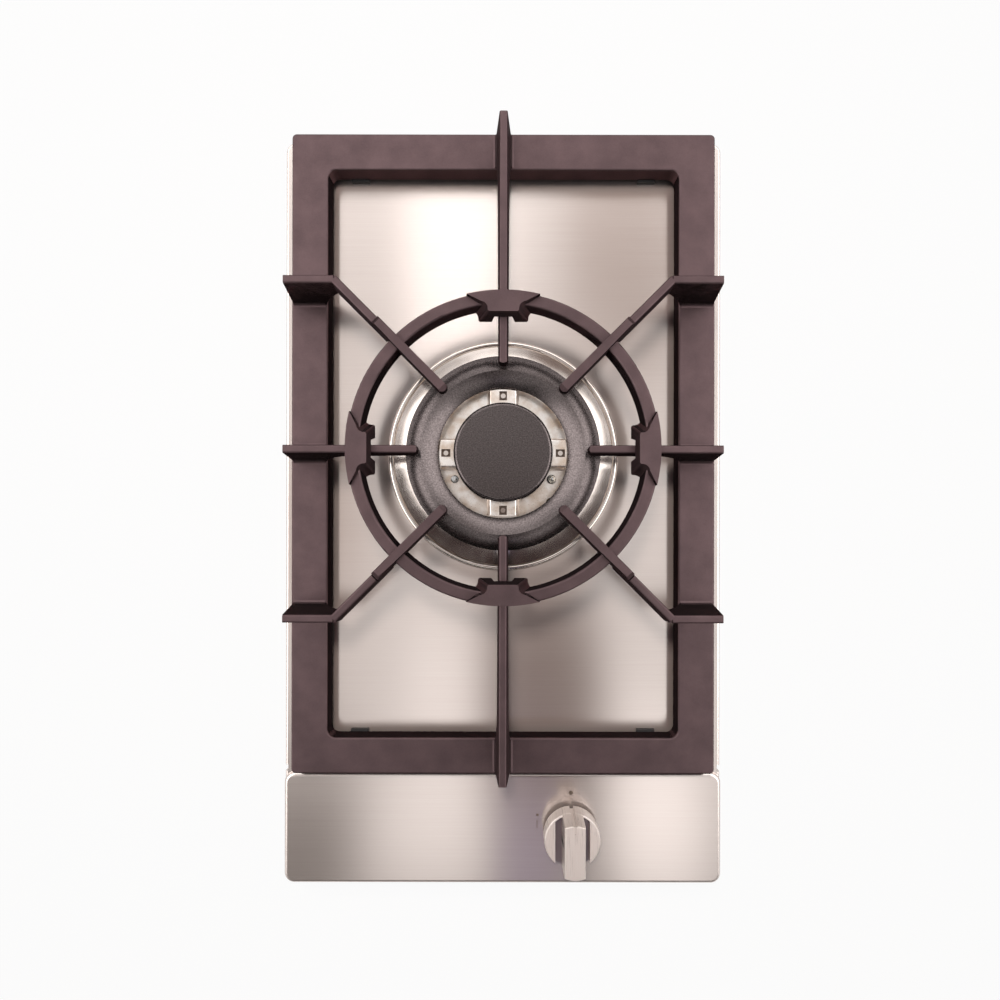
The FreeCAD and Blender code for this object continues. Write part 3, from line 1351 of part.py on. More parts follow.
def spindle_flat(clearance, z0, z1):
    """The part of a round shaft that the driving flat takes away."""
    return box(KNOB_X - BUSH_RADIUS, KNOB_X + BUSH_RADIUS, KNOB_Y - BUSH_RADIUS,
               KNOB_Y - SPINDLE_FLAT - clearance, z0, z1)


def tap_spindle():
    shaft = ring(SPINDLE_RADIUS, 0, SPINDLE_SHOULDER_Z, SPINDLE_TOP_Z, KNOB_X, KNOB_Y)
    half = TANG_WIDTH / 2
    tang = box(KNOB_X - half, KNOB_X + half, KNOB_Y - half, KNOB_Y + half,
               SPINDLE_SHOULDER_Z - TANG_DEPTH, SPINDLE_SHOULDER_Z)
    flat = spindle_flat(0, BUSH_BOTTOM_Z, SPINDLE_TOP_Z)
    return shaft.fuse(tang).cut(flat).removeSplitter()


def biarc(start, heading, end, ending):
    """Two tangent arcs between two points with given directions."""
    span = end.sub(start)
    both = heading + ending
    turn = 2 * (1 - heading.dot(ending))
    along = span.dot(both)
    reach = (math.sqrt(along ** 2 + turn * span.dot(span)) - along) / turn
    first = start + heading * reach
    second = end - ending * reach
    joint = (first + second) * 0.5
    return [tangent_arc(start, first, joint), tangent_arc(joint, second, end)]


def tangent_arc(start, apex, end):
    """An arc whose end tangents meet at an apex."""
    middle = (start + end) * 0.5
    chord = start.distanceToPoint(end) / 2
    height = apex.distanceToPoint(middle)
    rise = chord * math.tan(math.atan2(height, chord) / 2)
    outward = apex.sub(middle)
    outward.normalize()
    return Part.Arc(start, middle + outward * rise, end).toShape()


def spring_point(turns, low, pitch):
    """A point on the spring's centre line after a number of turns, and its direction."""
    angle = 2 * math.pi * turns
    place = on_tap(SPRING_RADIUS * math.cos(angle), SPRING_RADIUS * math.sin(angle), low + pitch * turns)
    girth = 2 * math.pi * SPRING_RADIUS
    heading = V(-girth * math.sin(angle), girth * math.cos(angle), pitch)
    heading.normalize()
    return place, heading


def tap_spring():
    low = BONNET_TOP_Z + SPRING_WIRE / 2 + LOOSE_CLEARANCE / 2
    high = DISC_Z - SPRING_WIRE / 2 - LOOSE_CLEARANCE / 2
    pitch = (high - low) / SPRING_TURNS
    edges = []
    quarters = SPRING_TURNS * 4
    for quarter in range(quarters):
        start, heading = spring_point(quarter / 4, low, pitch)
        end, ending = spring_point((quarter + 1) / 4, low, pitch)
        edges = edges + biarc(start, heading, end, ending)
    gaps = []
    for step in range(quarters - 4):
        here = spring_point(step / 4, low, pitch)[0]
        above = spring_point(step / 4 + 1, low, pitch)[0]
        gaps.append(here.distanceToPoint(above) - SPRING_WIRE)
    print("tap_spring least gap between turns %.2f mm" % min(gaps))
    return bar_along(Part.Wire(edges), SPRING_WIRE / 2)


def switch_disc():
    return ring(DISC_RADIUS, SPINDLE_RADIUS, DISC_Z, DISC_Z + DISC_THICK, KNOB_X, KNOB_Y)


def plunger_axis(z):
    return on_tap(0, SWITCH_AT, z)


def plunger_top():
    return DISC_Z - LOOSE_CLEARANCE


def ignition_switch():
    body = box(KNOB_X - SWITCH_LENGTH / 2, KNOB_X + SWITCH_LENGTH / 2, KNOB_Y + SWITCH_AT - SWITCH_WIDTH / 2,
               KNOB_Y + SWITCH_AT + SWITCH_WIDTH / 2, BRACKET_TOP_Z, SWITCH_TOP_Z)
    bore = rod(PLUNGER_RADIUS + RUNNING_CLEARANCE, plunger_axis(BRACKET_TOP_Z + PLATE_SHEET),
               plunger_axis(SWITCH_TOP_Z))
    return body.cut(bore)


def switch_plunger():
    low = BRACKET_TOP_Z + PLATE_SHEET + PUSH_TRAVEL + LOOSE_CLEARANCE
    return rod(PLUNGER_RADIUS, plunger_axis(low), plunger_axis(plunger_top()))


def magnet_unit():
    start = on_tap(TAP_RADIUS - MAGNET_SINK, 0, INLET_Z)
    end = on_tap(TAP_RADIUS + MAGNET_LENGTH, 0, INLET_Z)
    return rod(MAGNET_RADIUS, start, end).cut(gas_tap_body())


def thermocouple_nut():
    start = on_tap(TAP_RADIUS + MAGNET_LENGTH, 0, INLET_Z)
    end = start + V(MAGNET_NUT_LENGTH, 0, 0)
    return hex_rod(MAGNET_NUT_FLATS, start, end).cut(rod(CAPILLARY_RADIUS, start, end))


def tap_screws():
    screws = []
    for seat, tip in tap_screw_lines():
        screws.append(screw(TAP_SCREW_RADIUS, FIXING_HEAD_RADIUS, FIXING_HEAD_HEIGHT, seat, tip))
    return Part.makeCompound(screws)


def bracket_screw_lines():
    """Head seat and tip of each screw that holds the bracket on the front wall."""
    lines = []
    for side in (-1, 1):
        seat = V(KNOB_X + side * BRACKET_SCREW_SPREAD / 2, BOX_FRONT_Y, BRACKET_TOP_Z - BRACKET_SCREW_DROP)
        lines.append((seat, seat + V(0, BOX_SHEET + BRACKET_SHEET + PLATE_SHEET, 0)))
    return lines


def tap_bracket():
    back = BOX_FRONT_Y + BOX_SHEET
    left = KNOB_X - BRACKET_WIDTH / 2
    right = KNOB_X + BRACKET_WIDTH / 2
    top = box(left, right, back, back + BRACKET_REACH, BONNET_TOP_Z, BRACKET_TOP_Z)
    leg = box(left, right, back, back + BRACKET_SHEET, BRACKET_TOP_Z - BRACKET_DROP, BRACKET_TOP_Z)
    cuts = [ring(BRACKET_HOLE, 0, BONNET_TOP_Z, BRACKET_TOP_Z, KNOB_X, KNOB_Y), tap_screw_holes()]
    for seat, tip in bracket_screw_lines():
        cuts.append(rod(FIXING_SCREW_RADIUS, seat, tip))
    return top.fuse(leg).cut(Part.makeCompound(cuts)).removeSplitter()


def bracket_screws():
    screws = []
    for seat, tip in bracket_screw_lines():
        screws.append(screw(FIXING_SCREW_RADIUS, FIXING_HEAD_RADIUS, FIXING_HEAD_HEIGHT, seat, tip))
    return Part.makeCompound(screws)


# Gas pipes

def tube_route(outlet_x, pillar):
    """The route of one gas tube from the tap to the cup."""
    start = V(outlet_x, KNOB_Y + OUTLET_REACH, OUTLET_Z)
    end = V(pillar.x, BURNER_Y - BOSS_REACH, OUTLET_Z)
    return [start, start + V(0, TUBE_LEAD, 0), end - V(0, TUBE_LEAD, 0), end]


def inner_gas_tube():
    return hollow_tube(tube_route(outlet_xs()[0], inner_pillar()), TUBE_RADIUS, TUBE_BORE, TUBE_BEND)


def outer_gas_tube():
    return hollow_tube(tube_route(outlet_xs()[1], outer_pillar()), TUBE_RADIUS, TUBE_BORE, TUBE_BEND)


def tube_nuts():
    nuts = []
    for outlet_x, pillar in zip(outlet_xs(), (inner_pillar(), outer_pillar())):
        route = tube_route(outlet_x, pillar)
        for place, way in ((route[0], 1), (route[-1], -1)):
            end = place + V(0, way * TUBE_NUT_LENGTH, 0)
            nuts.append(hex_rod(TUBE_NUT_FLATS, place, end).cut(rod(TUBE_RADIUS, place, end)))
    return Part.makeCompound(nuts)


def inlet_point(y):
    return V(INLET_X, y, INLET_Z)


def gas_rail():
    start = inlet_point(BOX_REAR_Y - BOX_SHEET - INLET_HEX_LENGTH)
    points = [start, V(INLET_X, KNOB_Y, INLET_Z), on_tap(-INLET_REACH, 0, INLET_Z)]
    return hollow_tube(points, RAIL_RADIUS, RAIL_BORE, RAIL_BEND)


def gas_inlet_nipple():
    seat = inlet_point(BOX_REAR_Y - BOX_SHEET)
    back = seat - V(0, INLET_HEX_LENGTH, 0)
    shank_end = inlet_point(BOX_REAR_Y + LOCKNUT_LENGTH)
    neck_end = shank_end + V(0, INLET_NECK_LENGTH, 0)
    tip = neck_end + V(0, INLET_THREAD_LENGTH, 0)
    pieces = [hex_rod(INLET_HEX_FLATS, back, seat), rod(INLET_SHANK_RADIUS, seat, shank_end)]
    pieces.append(rod(INLET_NECK_RADIUS, shank_end, neck_end))
    pieces.append(rod(INLET_THREAD_RADIUS, neck_end, tip))
    return fused(pieces).cut(rod(RAIL_BORE, back, tip)).removeSplitter()


def inlet_locknut():
    start = inlet_point(BOX_REAR_Y)
    end = inlet_point(BOX_REAR_Y + LOCKNUT_LENGTH)
    return hex_rod(INLET_HEX_FLATS, start, end).cut(rod(INLET_SHANK_RADIUS, start, end))


# Battery ignition module

def module_slab(inset, z0, z1):
    """A block with the module's outline, drawn in by an inset."""
    half = MODULE_WIDTH / 2 - inset
    end = MODULE_LENGTH / 2 - inset
    return box(MODULE_X - half, MODULE_X + half, MODULE_Y - end, MODULE_Y + end, z0, z1)


def module_top():
    return BOX_FLOOR_Z + MODULE_HEIGHT


def module_screw_lines():
    """Head seat and tip of each lid screw."""
    lines = []
    for side_x in (-1, 1):
        for side_y in (-1, 1):
            x = MODULE_X + side_x * (MODULE_WIDTH / 2 - MODULE_POST_INSET)
            y = MODULE_Y + side_y * (MODULE_LENGTH / 2 - MODULE_POST_INSET)
            seat = V(x, y, module_top() + MODULE_LID)
            lines.append((seat, seat - V(0, 0, MODULE_SCREW_LENGTH)))
    return lines


def module_screw_holes():
    return Part.makeCompound([rod(MODULE_SCREW_RADIUS, seat, tip) for seat, tip in module_screw_lines()])


def ignition_module_case():
    outer = module_slab(0, BOX_FLOOR_Z, module_top())
    hollow = module_slab(MODULE_WALL, BOX_FLOOR_Z + MODULE_WALL, module_top())
    pieces = [outer.cut(hollow)]
    for seat, tip in module_screw_lines():
        foot = V(seat.x, seat.y, module_top() - MODULE_SCREW_LENGTH)
        pieces.append(rod(MODULE_POST_RADIUS, foot, V(seat.x, seat.y, module_top())))
    return fused(pieces).cut(module_screw_holes()).removeSplitter()


def ignition_module_lid():
    return module_slab(0, module_top(), module_top() + MODULE_LID).cut(module_screw_holes())


def module_screws():
    screws = []
    for seat, tip in module_screw_lines():
        screws.append(screw(MODULE_SCREW_RADIUS, MODULE_HEAD_RADIUS, MODULE_HEAD_HEIGHT, seat, tip))
    return Part.makeCompound(screws)


def battery():
    z = BOX_FLOOR_Z + MODULE_WALL + BATTERY_RADIUS
    start = V(MODULE_X + BATTERY_OFFSET, MODULE_Y - BATTERY_LENGTH / 2, z)
    shoulder = start + V(0, BATTERY_LENGTH - BATTERY_CAP_LENGTH, 0)
    end = start + V(0, BATTERY_LENGTH, 0)
    return rod(BATTERY_RADIUS, start, shoulder).fuse(rod(BATTERY_CAP_RADIUS, shoulder, end)).removeSplitter()


def pulse_board():
    left = MODULE_X + BOARD_OFFSET - BOARD_WIDTH / 2
    front = MODULE_Y - BOARD_LENGTH / 2
    low = BOX_FLOOR_Z + MODULE_WALL
    return box(left, left + BOARD_WIDTH, front, front + BOARD_LENGTH, low, low + BOARD_HEIGHT)


# Leads inside the box

def module_socket(x_offset, z_offset):
    """A point on the module's front face, where a lead plugs in."""
    return V(MODULE_X + x_offset, MODULE_Y - MODULE_LENGTH / 2, BOX_FLOOR_Z + z_offset)


def ignition_lead():
    start = sensor(ELECTRODE_ANGLE, SENSOR_BOTTOM_Z)
    end = module_socket(IGNITION_SOCKET_OFFSET, LEAD_SOCKET_HEIGHT)
    points = [start, start - V(0, 0, LEAD_DROP), start + IGNITION_LEAD_TURN]
    points = points + [end + IGNITION_LEAD_DIP, end + IGNITION_LEAD_END, end]
    return lead("ignition_lead", points, IGNITION_LEAD_RADIUS)


def switch_lead():
    start = on_tap(SWITCH_LENGTH / 4, SWITCH_AT + SWITCH_WIDTH / 2, BRACKET_TOP_Z + SWITCH_HEIGHT / 2)
    end = module_socket(SWITCH_SOCKET_OFFSET, LEAD_SOCKET_HEIGHT)
    points = [start, start + V(0, 14, 0), start + V(30, 34, -8)] + SWITCH_LEAD_WAY
    points = points + [end + V(4, -52, 0), end + V(0, -18, 0), end]
    return lead("switch_lead", points, SWITCH_LEAD_RADIUS)


def thermocouple_lead():
    start = sensor(THERMOCOUPLE_ANGLE, SENSOR_BOTTOM_Z)
    end = on_tap(TAP_RADIUS + MAGNET_LENGTH, 0, INLET_Z)
    points = [start, start - V(0, 0, LEAD_DROP), start + V(12, -34, -9)] + CAPILLARY_WAY
    points = points + [V(CAPILLARY_WAY[-1].x, KNOB_Y + 4, INLET_Z - 1), end + V(18, 0, 0), end]
    return lead("thermocouple_lead", points, CAPILLARY_RADIUS)


# Knob

def finger_slot(side, low):
    """The slot beside the grip bar, open at the front and closed by a thin wall at the rear."""
    near = side * KNOB_BAR_WIDTH / 2
    far = near + side * KNOB_GROOVE_WIDTH
    left = min(near, far)
    right = max(near, far)
    front = box(left, right, -KNOB_RADIUS, 0, low, KNOB_SHOULDER_Z)
    rear = box(left, right, 0, KNOB_RADIUS, low, KNOB_SHOULDER_Z)
    return front.fuse(rear.common(ring(KNOB_RADIUS - KNOB_REAR_WALL, 0, low, KNOB_SHOULDER_Z))).removeSplitter()


def knob_marks(lean):
    """The pointer groove down the rear wall and the fine line on the bar's top."""
    wide = KNOB_POINTER_WIDTH / 2
    fine = KNOB_MARK_WIDTH / 2
    pointer = box(-wide, wide, lean - KNOB_POINTER_DEPTH, KNOB_RADIUS, KNOB_BOTTOM_Z, KNOB_TOP_Z)
    line = box(-fine, fine, lean - KNOB_MARK_LENGTH, KNOB_RADIUS, KNOB_TOP_Z - KNOB_MARK_DEPTH, KNOB_TOP_Z)
    return pointer.fuse(line)


def knob():
    body = ring(KNOB_RADIUS, 0, KNOB_BOTTOM_Z, KNOB_SHOULDER_Z)
    body = round_edges_at(body, KNOB_SHOULDER_Z, KNOB_EDGE_RADIUS)
    half = KNOB_BAR_WIDTH / 2
    low = KNOB_SLOT_Z
    body = body.cut(finger_slot(-1, low)).cut(finger_slot(1, low))
    lean = KNOB_RADIUS - KNOB_BAR_LEAN
    cone = Part.makeCone(KNOB_RADIUS, lean, KNOB_TOP_Z - low, V(0, 0, low))
    bar = box(-half, half, -KNOB_RADIUS, KNOB_RADIUS, low, KNOB_TOP_Z).common(cone)
    bar = round_edges_at(bar, KNOB_TOP_Z, KNOB_EDGE_RADIUS)
    skirt = ring(KNOB_RADIUS - KNOB_SKIRT_WALL, 0, KNOB_BOTTOM_Z, KNOB_SLOT_Z - KNOB_FLOOR)
    bore = ring(BUSH_RADIUS, 0, BUSH_BOTTOM_Z, BUSH_TOP_Z)
    whole = body.fuse(bar).cut(knob_marks(lean)).cut(skirt).cut(bore).removeSplitter()
    whole.translate(V(KNOB_X, KNOB_Y, 0))
    return whole


def knob_bush():
    sleeve = ring(BUSH_RADIUS, 0, BUSH_BOTTOM_Z, BUSH_TOP_Z, KNOB_X, KNOB_Y)
    shaft = ring(SPINDLE_RADIUS, 0, BUSH_BOTTOM_Z, SPINDLE_TOP_Z, KNOB_X, KNOB_Y)
    return sleeve.cut(shaft.cut(spindle_flat(0, BUSH_BOTTOM_Z, SPINDLE_TOP_Z)))


def knob_seal():
    bore = SPINDLE_RADIUS + SEAL_BORE_CLEARANCE
    points = [
        (bore, STRIP_UNDER - SEAL_COLLAR_HEIGHT),
        (SEAL_COLLAR_RADIUS, STRIP_UNDER - SEAL_COLLAR_HEIGHT),
        (SEAL_COLLAR_RADIUS, STRIP_UNDER),
        (SEAL_HOLE_RADIUS, STRIP_UNDER),
        (SEAL_HOLE_RADIUS, STRIP_TOP),
        (SEAL_COLLAR_RADIUS, STRIP_TOP),
        (SEAL_COLLAR_RADIUS, STRIP_TOP + SEAL_COLLAR_HEIGHT / 2),
        (bore, STRIP_TOP + SEAL_COLLAR_HEIGHT),
    ]
    return turned(points, KNOB_X, KNOB_Y)


PIECES = (
    top_plate, worktop_seal, burner_box, weld_studs, stud_nuts,
    worktop_clamps, clamp_fixing_screws, clamp_screws,
    pan_support, pan_support_feet, wok_stand, burner_trim_ring, burner_cup, inner_injector, outer_injector,
    flame_crown, crown_pins, inner_cap, outer_ring_cap,
    spark_electrode_ceramic, spark_electrode_wire, thermocouple,
    gas_tap_body, tap_bonnet, tap_plug, tap_spindle, tap_spring, tap_screws, tap_bracket, bracket_screws,
    switch_disc, ignition_switch, switch_plunger, magnet_unit, thermocouple_nut,
    inner_gas_tube, outer_gas_tube, tube_nuts, gas_rail, gas_inlet_nipple, inlet_locknut,
    ignition_module_case, ignition_module_lid, module_screws, battery, pulse_board,
    ignition_lead, switch_lead, thermocouple_lead, knob, knob_bush, knob_seal,
)


def main():
    os.makedirs("parts", exist_ok=True)
    for make in PIECES:
        shape = make()
        shape.exportStep("parts/%s.step" % make.__name__)
        print(make.__name__, "solids", len(shape.Solids), "valid", shape.isValid())


main()
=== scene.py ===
"""Looks of a narrow stainless gas hob with one wok burner, seen from straight above."""
import json
import math

import bmesh
import bpy
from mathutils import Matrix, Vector

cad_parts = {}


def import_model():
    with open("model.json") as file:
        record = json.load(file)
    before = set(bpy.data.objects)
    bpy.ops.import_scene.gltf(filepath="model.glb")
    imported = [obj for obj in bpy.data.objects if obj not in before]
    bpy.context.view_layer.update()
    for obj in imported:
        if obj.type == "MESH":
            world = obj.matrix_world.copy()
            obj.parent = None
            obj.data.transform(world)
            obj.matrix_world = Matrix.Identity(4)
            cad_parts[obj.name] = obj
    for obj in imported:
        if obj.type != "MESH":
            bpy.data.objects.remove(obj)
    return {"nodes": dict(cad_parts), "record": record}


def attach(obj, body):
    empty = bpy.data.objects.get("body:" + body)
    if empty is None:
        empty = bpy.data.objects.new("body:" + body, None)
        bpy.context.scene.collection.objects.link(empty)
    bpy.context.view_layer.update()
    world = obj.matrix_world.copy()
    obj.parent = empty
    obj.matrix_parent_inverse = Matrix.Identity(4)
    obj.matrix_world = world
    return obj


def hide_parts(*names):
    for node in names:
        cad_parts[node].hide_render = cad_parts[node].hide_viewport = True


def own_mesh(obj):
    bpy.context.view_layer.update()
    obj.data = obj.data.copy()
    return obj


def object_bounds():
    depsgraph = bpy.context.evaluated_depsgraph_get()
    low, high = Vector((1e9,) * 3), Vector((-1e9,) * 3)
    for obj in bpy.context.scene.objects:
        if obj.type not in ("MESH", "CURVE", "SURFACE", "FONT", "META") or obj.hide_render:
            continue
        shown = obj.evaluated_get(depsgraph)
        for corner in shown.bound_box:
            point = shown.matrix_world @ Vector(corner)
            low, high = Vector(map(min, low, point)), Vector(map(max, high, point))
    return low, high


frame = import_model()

CAD_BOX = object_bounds()
MM = 0.001

# Camera: straight above the plate
IMAGE_SIDE = 1000
STEEL_HEIGHT = 6 * MM
CAMERA_DISTANCE = 420 * MM
PIXEL_ON_STEEL = 0.69 * MM
SENSOR = 36.0
CENTRE_PIXEL = (503.0, 512.0)
CAMERA_TURN = math.radians(0.1)
CLIP_START = 10 * MM

# Floor, world and key lamp
FLOOR_DROP = 1 * MM
FLOOR_SIDE = 14.0
FLOOR_GLOW = 0.94
FLOOR_PAINT = "#F3F3F3"
PURE_WHITE = "#FFFFFF"
AMBIENT = 0.14
WHITE = 1.0
KEY_TINT = "#FFF1E8"
KEY_PLACE = (-0.10, 0.42, 0.95)
KEY_AIM = (0, 0, 0)
KEY_SIZE = (0.2, 0.2)
KEY_POWER = 7.9

# A ray with fewer dull bounces than this comes straight from the eye or from a mirror
FIRST_BOUNCE = 0.5

# Cards overhead: height of the lowest, step to the next, and the share of a card's radius that fades out
CARD_HEIGHT = 1200 * MM
CARD_STEP = 4 * MM
SOFT_EDGE = 0.6
FIRM_EDGE = 0.15

# Each card's name, middle and size on the plate in millimetres, tint, strength and edge, lowest card first
CARDS = [
    ("burner_dark", (0, -14), (150, 112), "#9A8E89", 1.0, SOFT_EDGE),
    ("strip_cool", (18, -236), (74, 80), "#C6BCE4", 1.0, SOFT_EDGE),
    ("right_front_dark", (28, -130), (125, 275), "#3C1A10", 1.0, SOFT_EDGE),
    ("left_front_dark", (-145, -218), (130, 155), "#140F0E", 1.0, SOFT_EDGE),
    ("strip_bright", (-45, -225), (130, 120), PURE_WHITE, 1.65, SOFT_EDGE),
    ("right_front_bright", (107, -215), (98, 170), PURE_WHITE, 2.0, SOFT_EDGE),
    ("left_front_bright", (-33, -112), (100, 140), PURE_WHITE, 1.45, SOFT_EDGE),
    ("left_middle_dark", (-128, -5), (115, 150), "#BDB0AA", 1.0, SOFT_EDGE),
    ("right_rear_dark", (84, 185), (130, 240), "#9C8D87", 1.0, SOFT_EDGE),
    ("ceiling_tube", (-33, 190), (104, 315), PURE_WHITE, 1.9, SOFT_EDGE),
    ("left_wall", (-400, 60), (490, 700), PURE_WHITE, 4.0, FIRM_EDGE),
    ("right_wall", (400, 60), (490, 700), PURE_WHITE, 4.0, FIRM_EDGE),
    ("rear_wall", (0, 450), (1000, 370), PURE_WHITE, 3.4, FIRM_EDGE),
    ("front_dark", (0, -815), (1600, 1200), "#0E0B0A", 1.0, FIRM_EDGE),
]

# Most of a noise pattern's values lie between these two
LOW = 0.3
HIGH = 0.7

# Pattern sizes of the stainless pieces
BRUSH_LENGTH = 70 * MM
BRUSH_WIDTH = 0.6 * MM
BUFFING_HAZE = 6 * MM

# Pattern sizes of the iron and the cap enamel
SAND_GRAIN = 0.9 * MM
SAND_HEIGHT = 0.03 * MM
IRON_PATCH = 14 * MM
ENAMEL_PEEL = 1.0 * MM
ENAMEL_PEEL_HEIGHT = 0.006 * MM
ENAMEL_SPECK = 0.8 * MM

# Pattern sizes of the flame crown, and the painted shade on its recess floors
TUMBLE_GRAIN = 0.8 * MM
TUMBLE_HEIGHT = 0.02 * MM
HEAT_STAIN = 9 * MM
RECESS_FLOOR = 24.9 * MM
RECESS_SHADE_REACH = 0.4 * MM

# Pattern sizes of the knob, and the floors of the slots beside its grip, which get painted shade
SATIN_WIDTH = 0.5 * MM
SATIN_LENGTH = 18 * MM
SLOT_FLOOR = 17.6 * MM
SLOT_SHADE_REACH = 0.3 * MM

# Pattern sizes of the zinc coats, brass and copper
ZINC_CRYSTAL = 6 * MM
ZINC_WAVE = 3 * MM
ZINC_WAVE_HEIGHT = 0.02 * MM
SCRATCH_WIDTH = 0.4 * MM
SCRATCH_LENGTH = 2 * MM
TARNISH_PATCH = 4 * MM
TOOL_MARK_WIDTH = 0.4 * MM
TOOL_MARK_LENGTH = 8 * MM
TOOL_MARK_HEIGHT = 0.01 * MM
PATINA_PATCH = 11 * MM

# Pattern sizes of rubber, foam, ceramic, plastics and ink
RUBBER_GRAIN = 0.5 * MM
RUBBER_HEIGHT = 0.03 * MM
FOAM_CELL = 0.8 * MM
FOAM_DEPTH = 0.2 * MM
CERAMIC_SPECK = 0.7 * MM
PLASTIC_GRAIN = 0.6 * MM
PLASTIC_HEIGHT = 0.03 * MM
BOARD_WEAVE = 0.8 * MM
SLEEVE_CLOUD = 5 * MM
SILICONE_SOIL = 7 * MM
VINYL_CLOUD = 2 * MM
INK_CLOUD = 0.6 * MM

# Printed marks on the control strip
STRIP_HEIGHT = 8.6 * MM
INK_THICK = 0.04 * MM
DOT_STEPS = 32
OFF_DOT_PLACE = (46.9 * MM, -192.4 * MM)
OFF_DOT_RADIUS = 1.5 * MM
LOW_DOT_PLACE = (24.0 * MM, -207.6 * MM)
LOW_DOT_RADIUS = 0.9 * MM
LOW_LINE_PLACE = (23.7 * MM, -214.0 * MM)
LOW_LINE_SIZE = (0.5 * MM, 5.5 * MM)


# Small helpers

def colour(code):
    """A linear colour from an sRGB hex value."""
    parts = [int(code[k:k + 2], 16) / 255 for k in (1, 3, 5)]
    linear = [p / 12.92 if p <= 0.04045 else ((p + 0.055) / 1.055) ** 2.4 for p in parts]
    return (*linear, 1.0)


def add(tree, kind, output, inputs=None, stops=(), **settings):
    """One node with its settings, inputs and colour stops, as its named output."""
    node = tree.nodes.new(kind)
    for name, value in settings.items():
        setattr(node, name, value)
    for name, value in (inputs or {}).items():
        if isinstance(value, bpy.types.NodeSocket):
            tree.links.new(value, node.inputs[name])
        else:
            node.inputs[name].default_value = value
    for index, (position, code) in enumerate(stops):
        node.color_ramp.elements[index].position = position
        node.color_ramp.elements[index].color = colour(code)
    return node.outputs[output]


def new_material(name, **sockets):
    """A material with a Principled surface whose constant sockets are set."""
    material = bpy.data.materials.new(name)
    material.use_nodes = True
    tree = material.node_tree
    surface = tree.nodes["Principled BSDF"]
    for socket, value in sockets.items():
        surface.inputs[socket.replace("_", " ")].default_value = value
    return material, tree, surface


def wire(tree, surface, **sockets):
    """Link outputs to a surface's sockets."""
    for socket, output in sockets.items():
        tree.links.new(output, surface.inputs[socket.replace("_", " ")])


# Materials

def brushed_stainless_sheet():
    """Stainless sheet brushed from side to side: fine lines along X that smear reflections along Y."""
    # The brush lines scatter part of the light, so the sheet isn't wholly a mirror
    material, tree, surface = new_material("brushed_stainless_sheet", Metallic=0.72, Anisotropic=0.85)
    spot = add(tree, "ShaderNodeTexCoord", "Object")
    # Real brush lines are about 0.1 mm wide: these are drawn wider, so that they show
    stretched = add(tree, "ShaderNodeMapping", "Vector",
                    {"Vector": spot, "Scale": (1 / BRUSH_LENGTH, 1 / BRUSH_WIDTH, 1 / BRUSH_WIDTH)})
    lines = add(tree, "ShaderNodeTexNoise", "Fac", {"Vector": stretched, "Scale": 1.0, "Detail": 3.0})
    tint = add(tree, "ShaderNodeValToRGB", "Color", {"Fac": lines}, [(LOW, "#DBCFC9"), (HIGH, "#E0D5CF")])
    gloss = add(tree, "ShaderNodeMapRange", "Result",
                {"Value": lines, "From Min": LOW, "From Max": HIGH, "To Min": 0.19, "To Max": 0.21})
    along = add(tree, "ShaderNodeTangent", "Tangent", direction_type="RADIAL", axis="X")
    wire(tree, surface, Base_Color=tint, Roughness=gloss, Tangent=along)
    return material


def polished_stainless():
    """Spun and buffed stainless: clear reflections with a faint haze in patches."""
    material, tree, surface = new_material("polished_stainless", Metallic=1.0)
    spot = add(tree, "ShaderNodeTexCoord", "Object")
    haze = add(tree, "ShaderNodeTexNoise", "Fac", {"Vector": spot, "Scale": 1 / BUFFING_HAZE, "Detail": 3.0})
    tint = add(tree, "ShaderNodeValToRGB", "Color", {"Fac": haze}, [(LOW, "#C6BAB2"), (HIGH, "#CDC2BB")])
    gloss = add(tree, "ShaderNodeMapRange", "Result",
                {"Value": haze, "From Min": LOW, "From Max": HIGH, "To Min": 0.14, "To Max": 0.16})
    wire(tree, surface, Base_Color=tint, Roughness=gloss)
    return material


def enamelled_cast_iron():
    """Sand cast iron, blacked and matt: a brown graphite sheen on top that dies off on steep sides."""
    # The dark tint takes the pale glint off faces that are seen edge on
    material, tree, surface = new_material("enamelled_cast_iron", Metallic=0.95, Specular_IOR_Level=0.0,
                                           Specular_Tint=colour("#0A0808"))
    spot = add(tree, "ShaderNodeTexCoord", "Object")
    # Real moulding sand is about 0.3 mm: its grain is drawn coarser, so that it shows
    sand = add(tree, "ShaderNodeTexNoise", "Fac", {"Vector": spot, "Scale": 1 / SAND_GRAIN, "Detail": 3.0})
    patch = add(tree, "ShaderNodeTexNoise", "Fac", {"Vector": spot, "Scale": 1 / IRON_PATCH, "Detail": 3.0})
    tint = add(tree, "ShaderNodeValToRGB", "Color", {"Fac": patch}, [(LOW, "#524344"), (HIGH, "#5C4B4C")])
    gloss = add(tree, "ShaderNodeMapRange", "Result",
                {"Value": sand, "From Min": LOW, "From Max": HIGH, "To Min": 0.42, "To Max": 0.56})
    grain = add(tree, "ShaderNodeBump", "Normal", {"Height": sand, "Distance": SAND_HEIGHT, "Strength": 1.0})
    wire(tree, surface, Base_Color=tint, Roughness=gloss, Normal=grain)
    return material


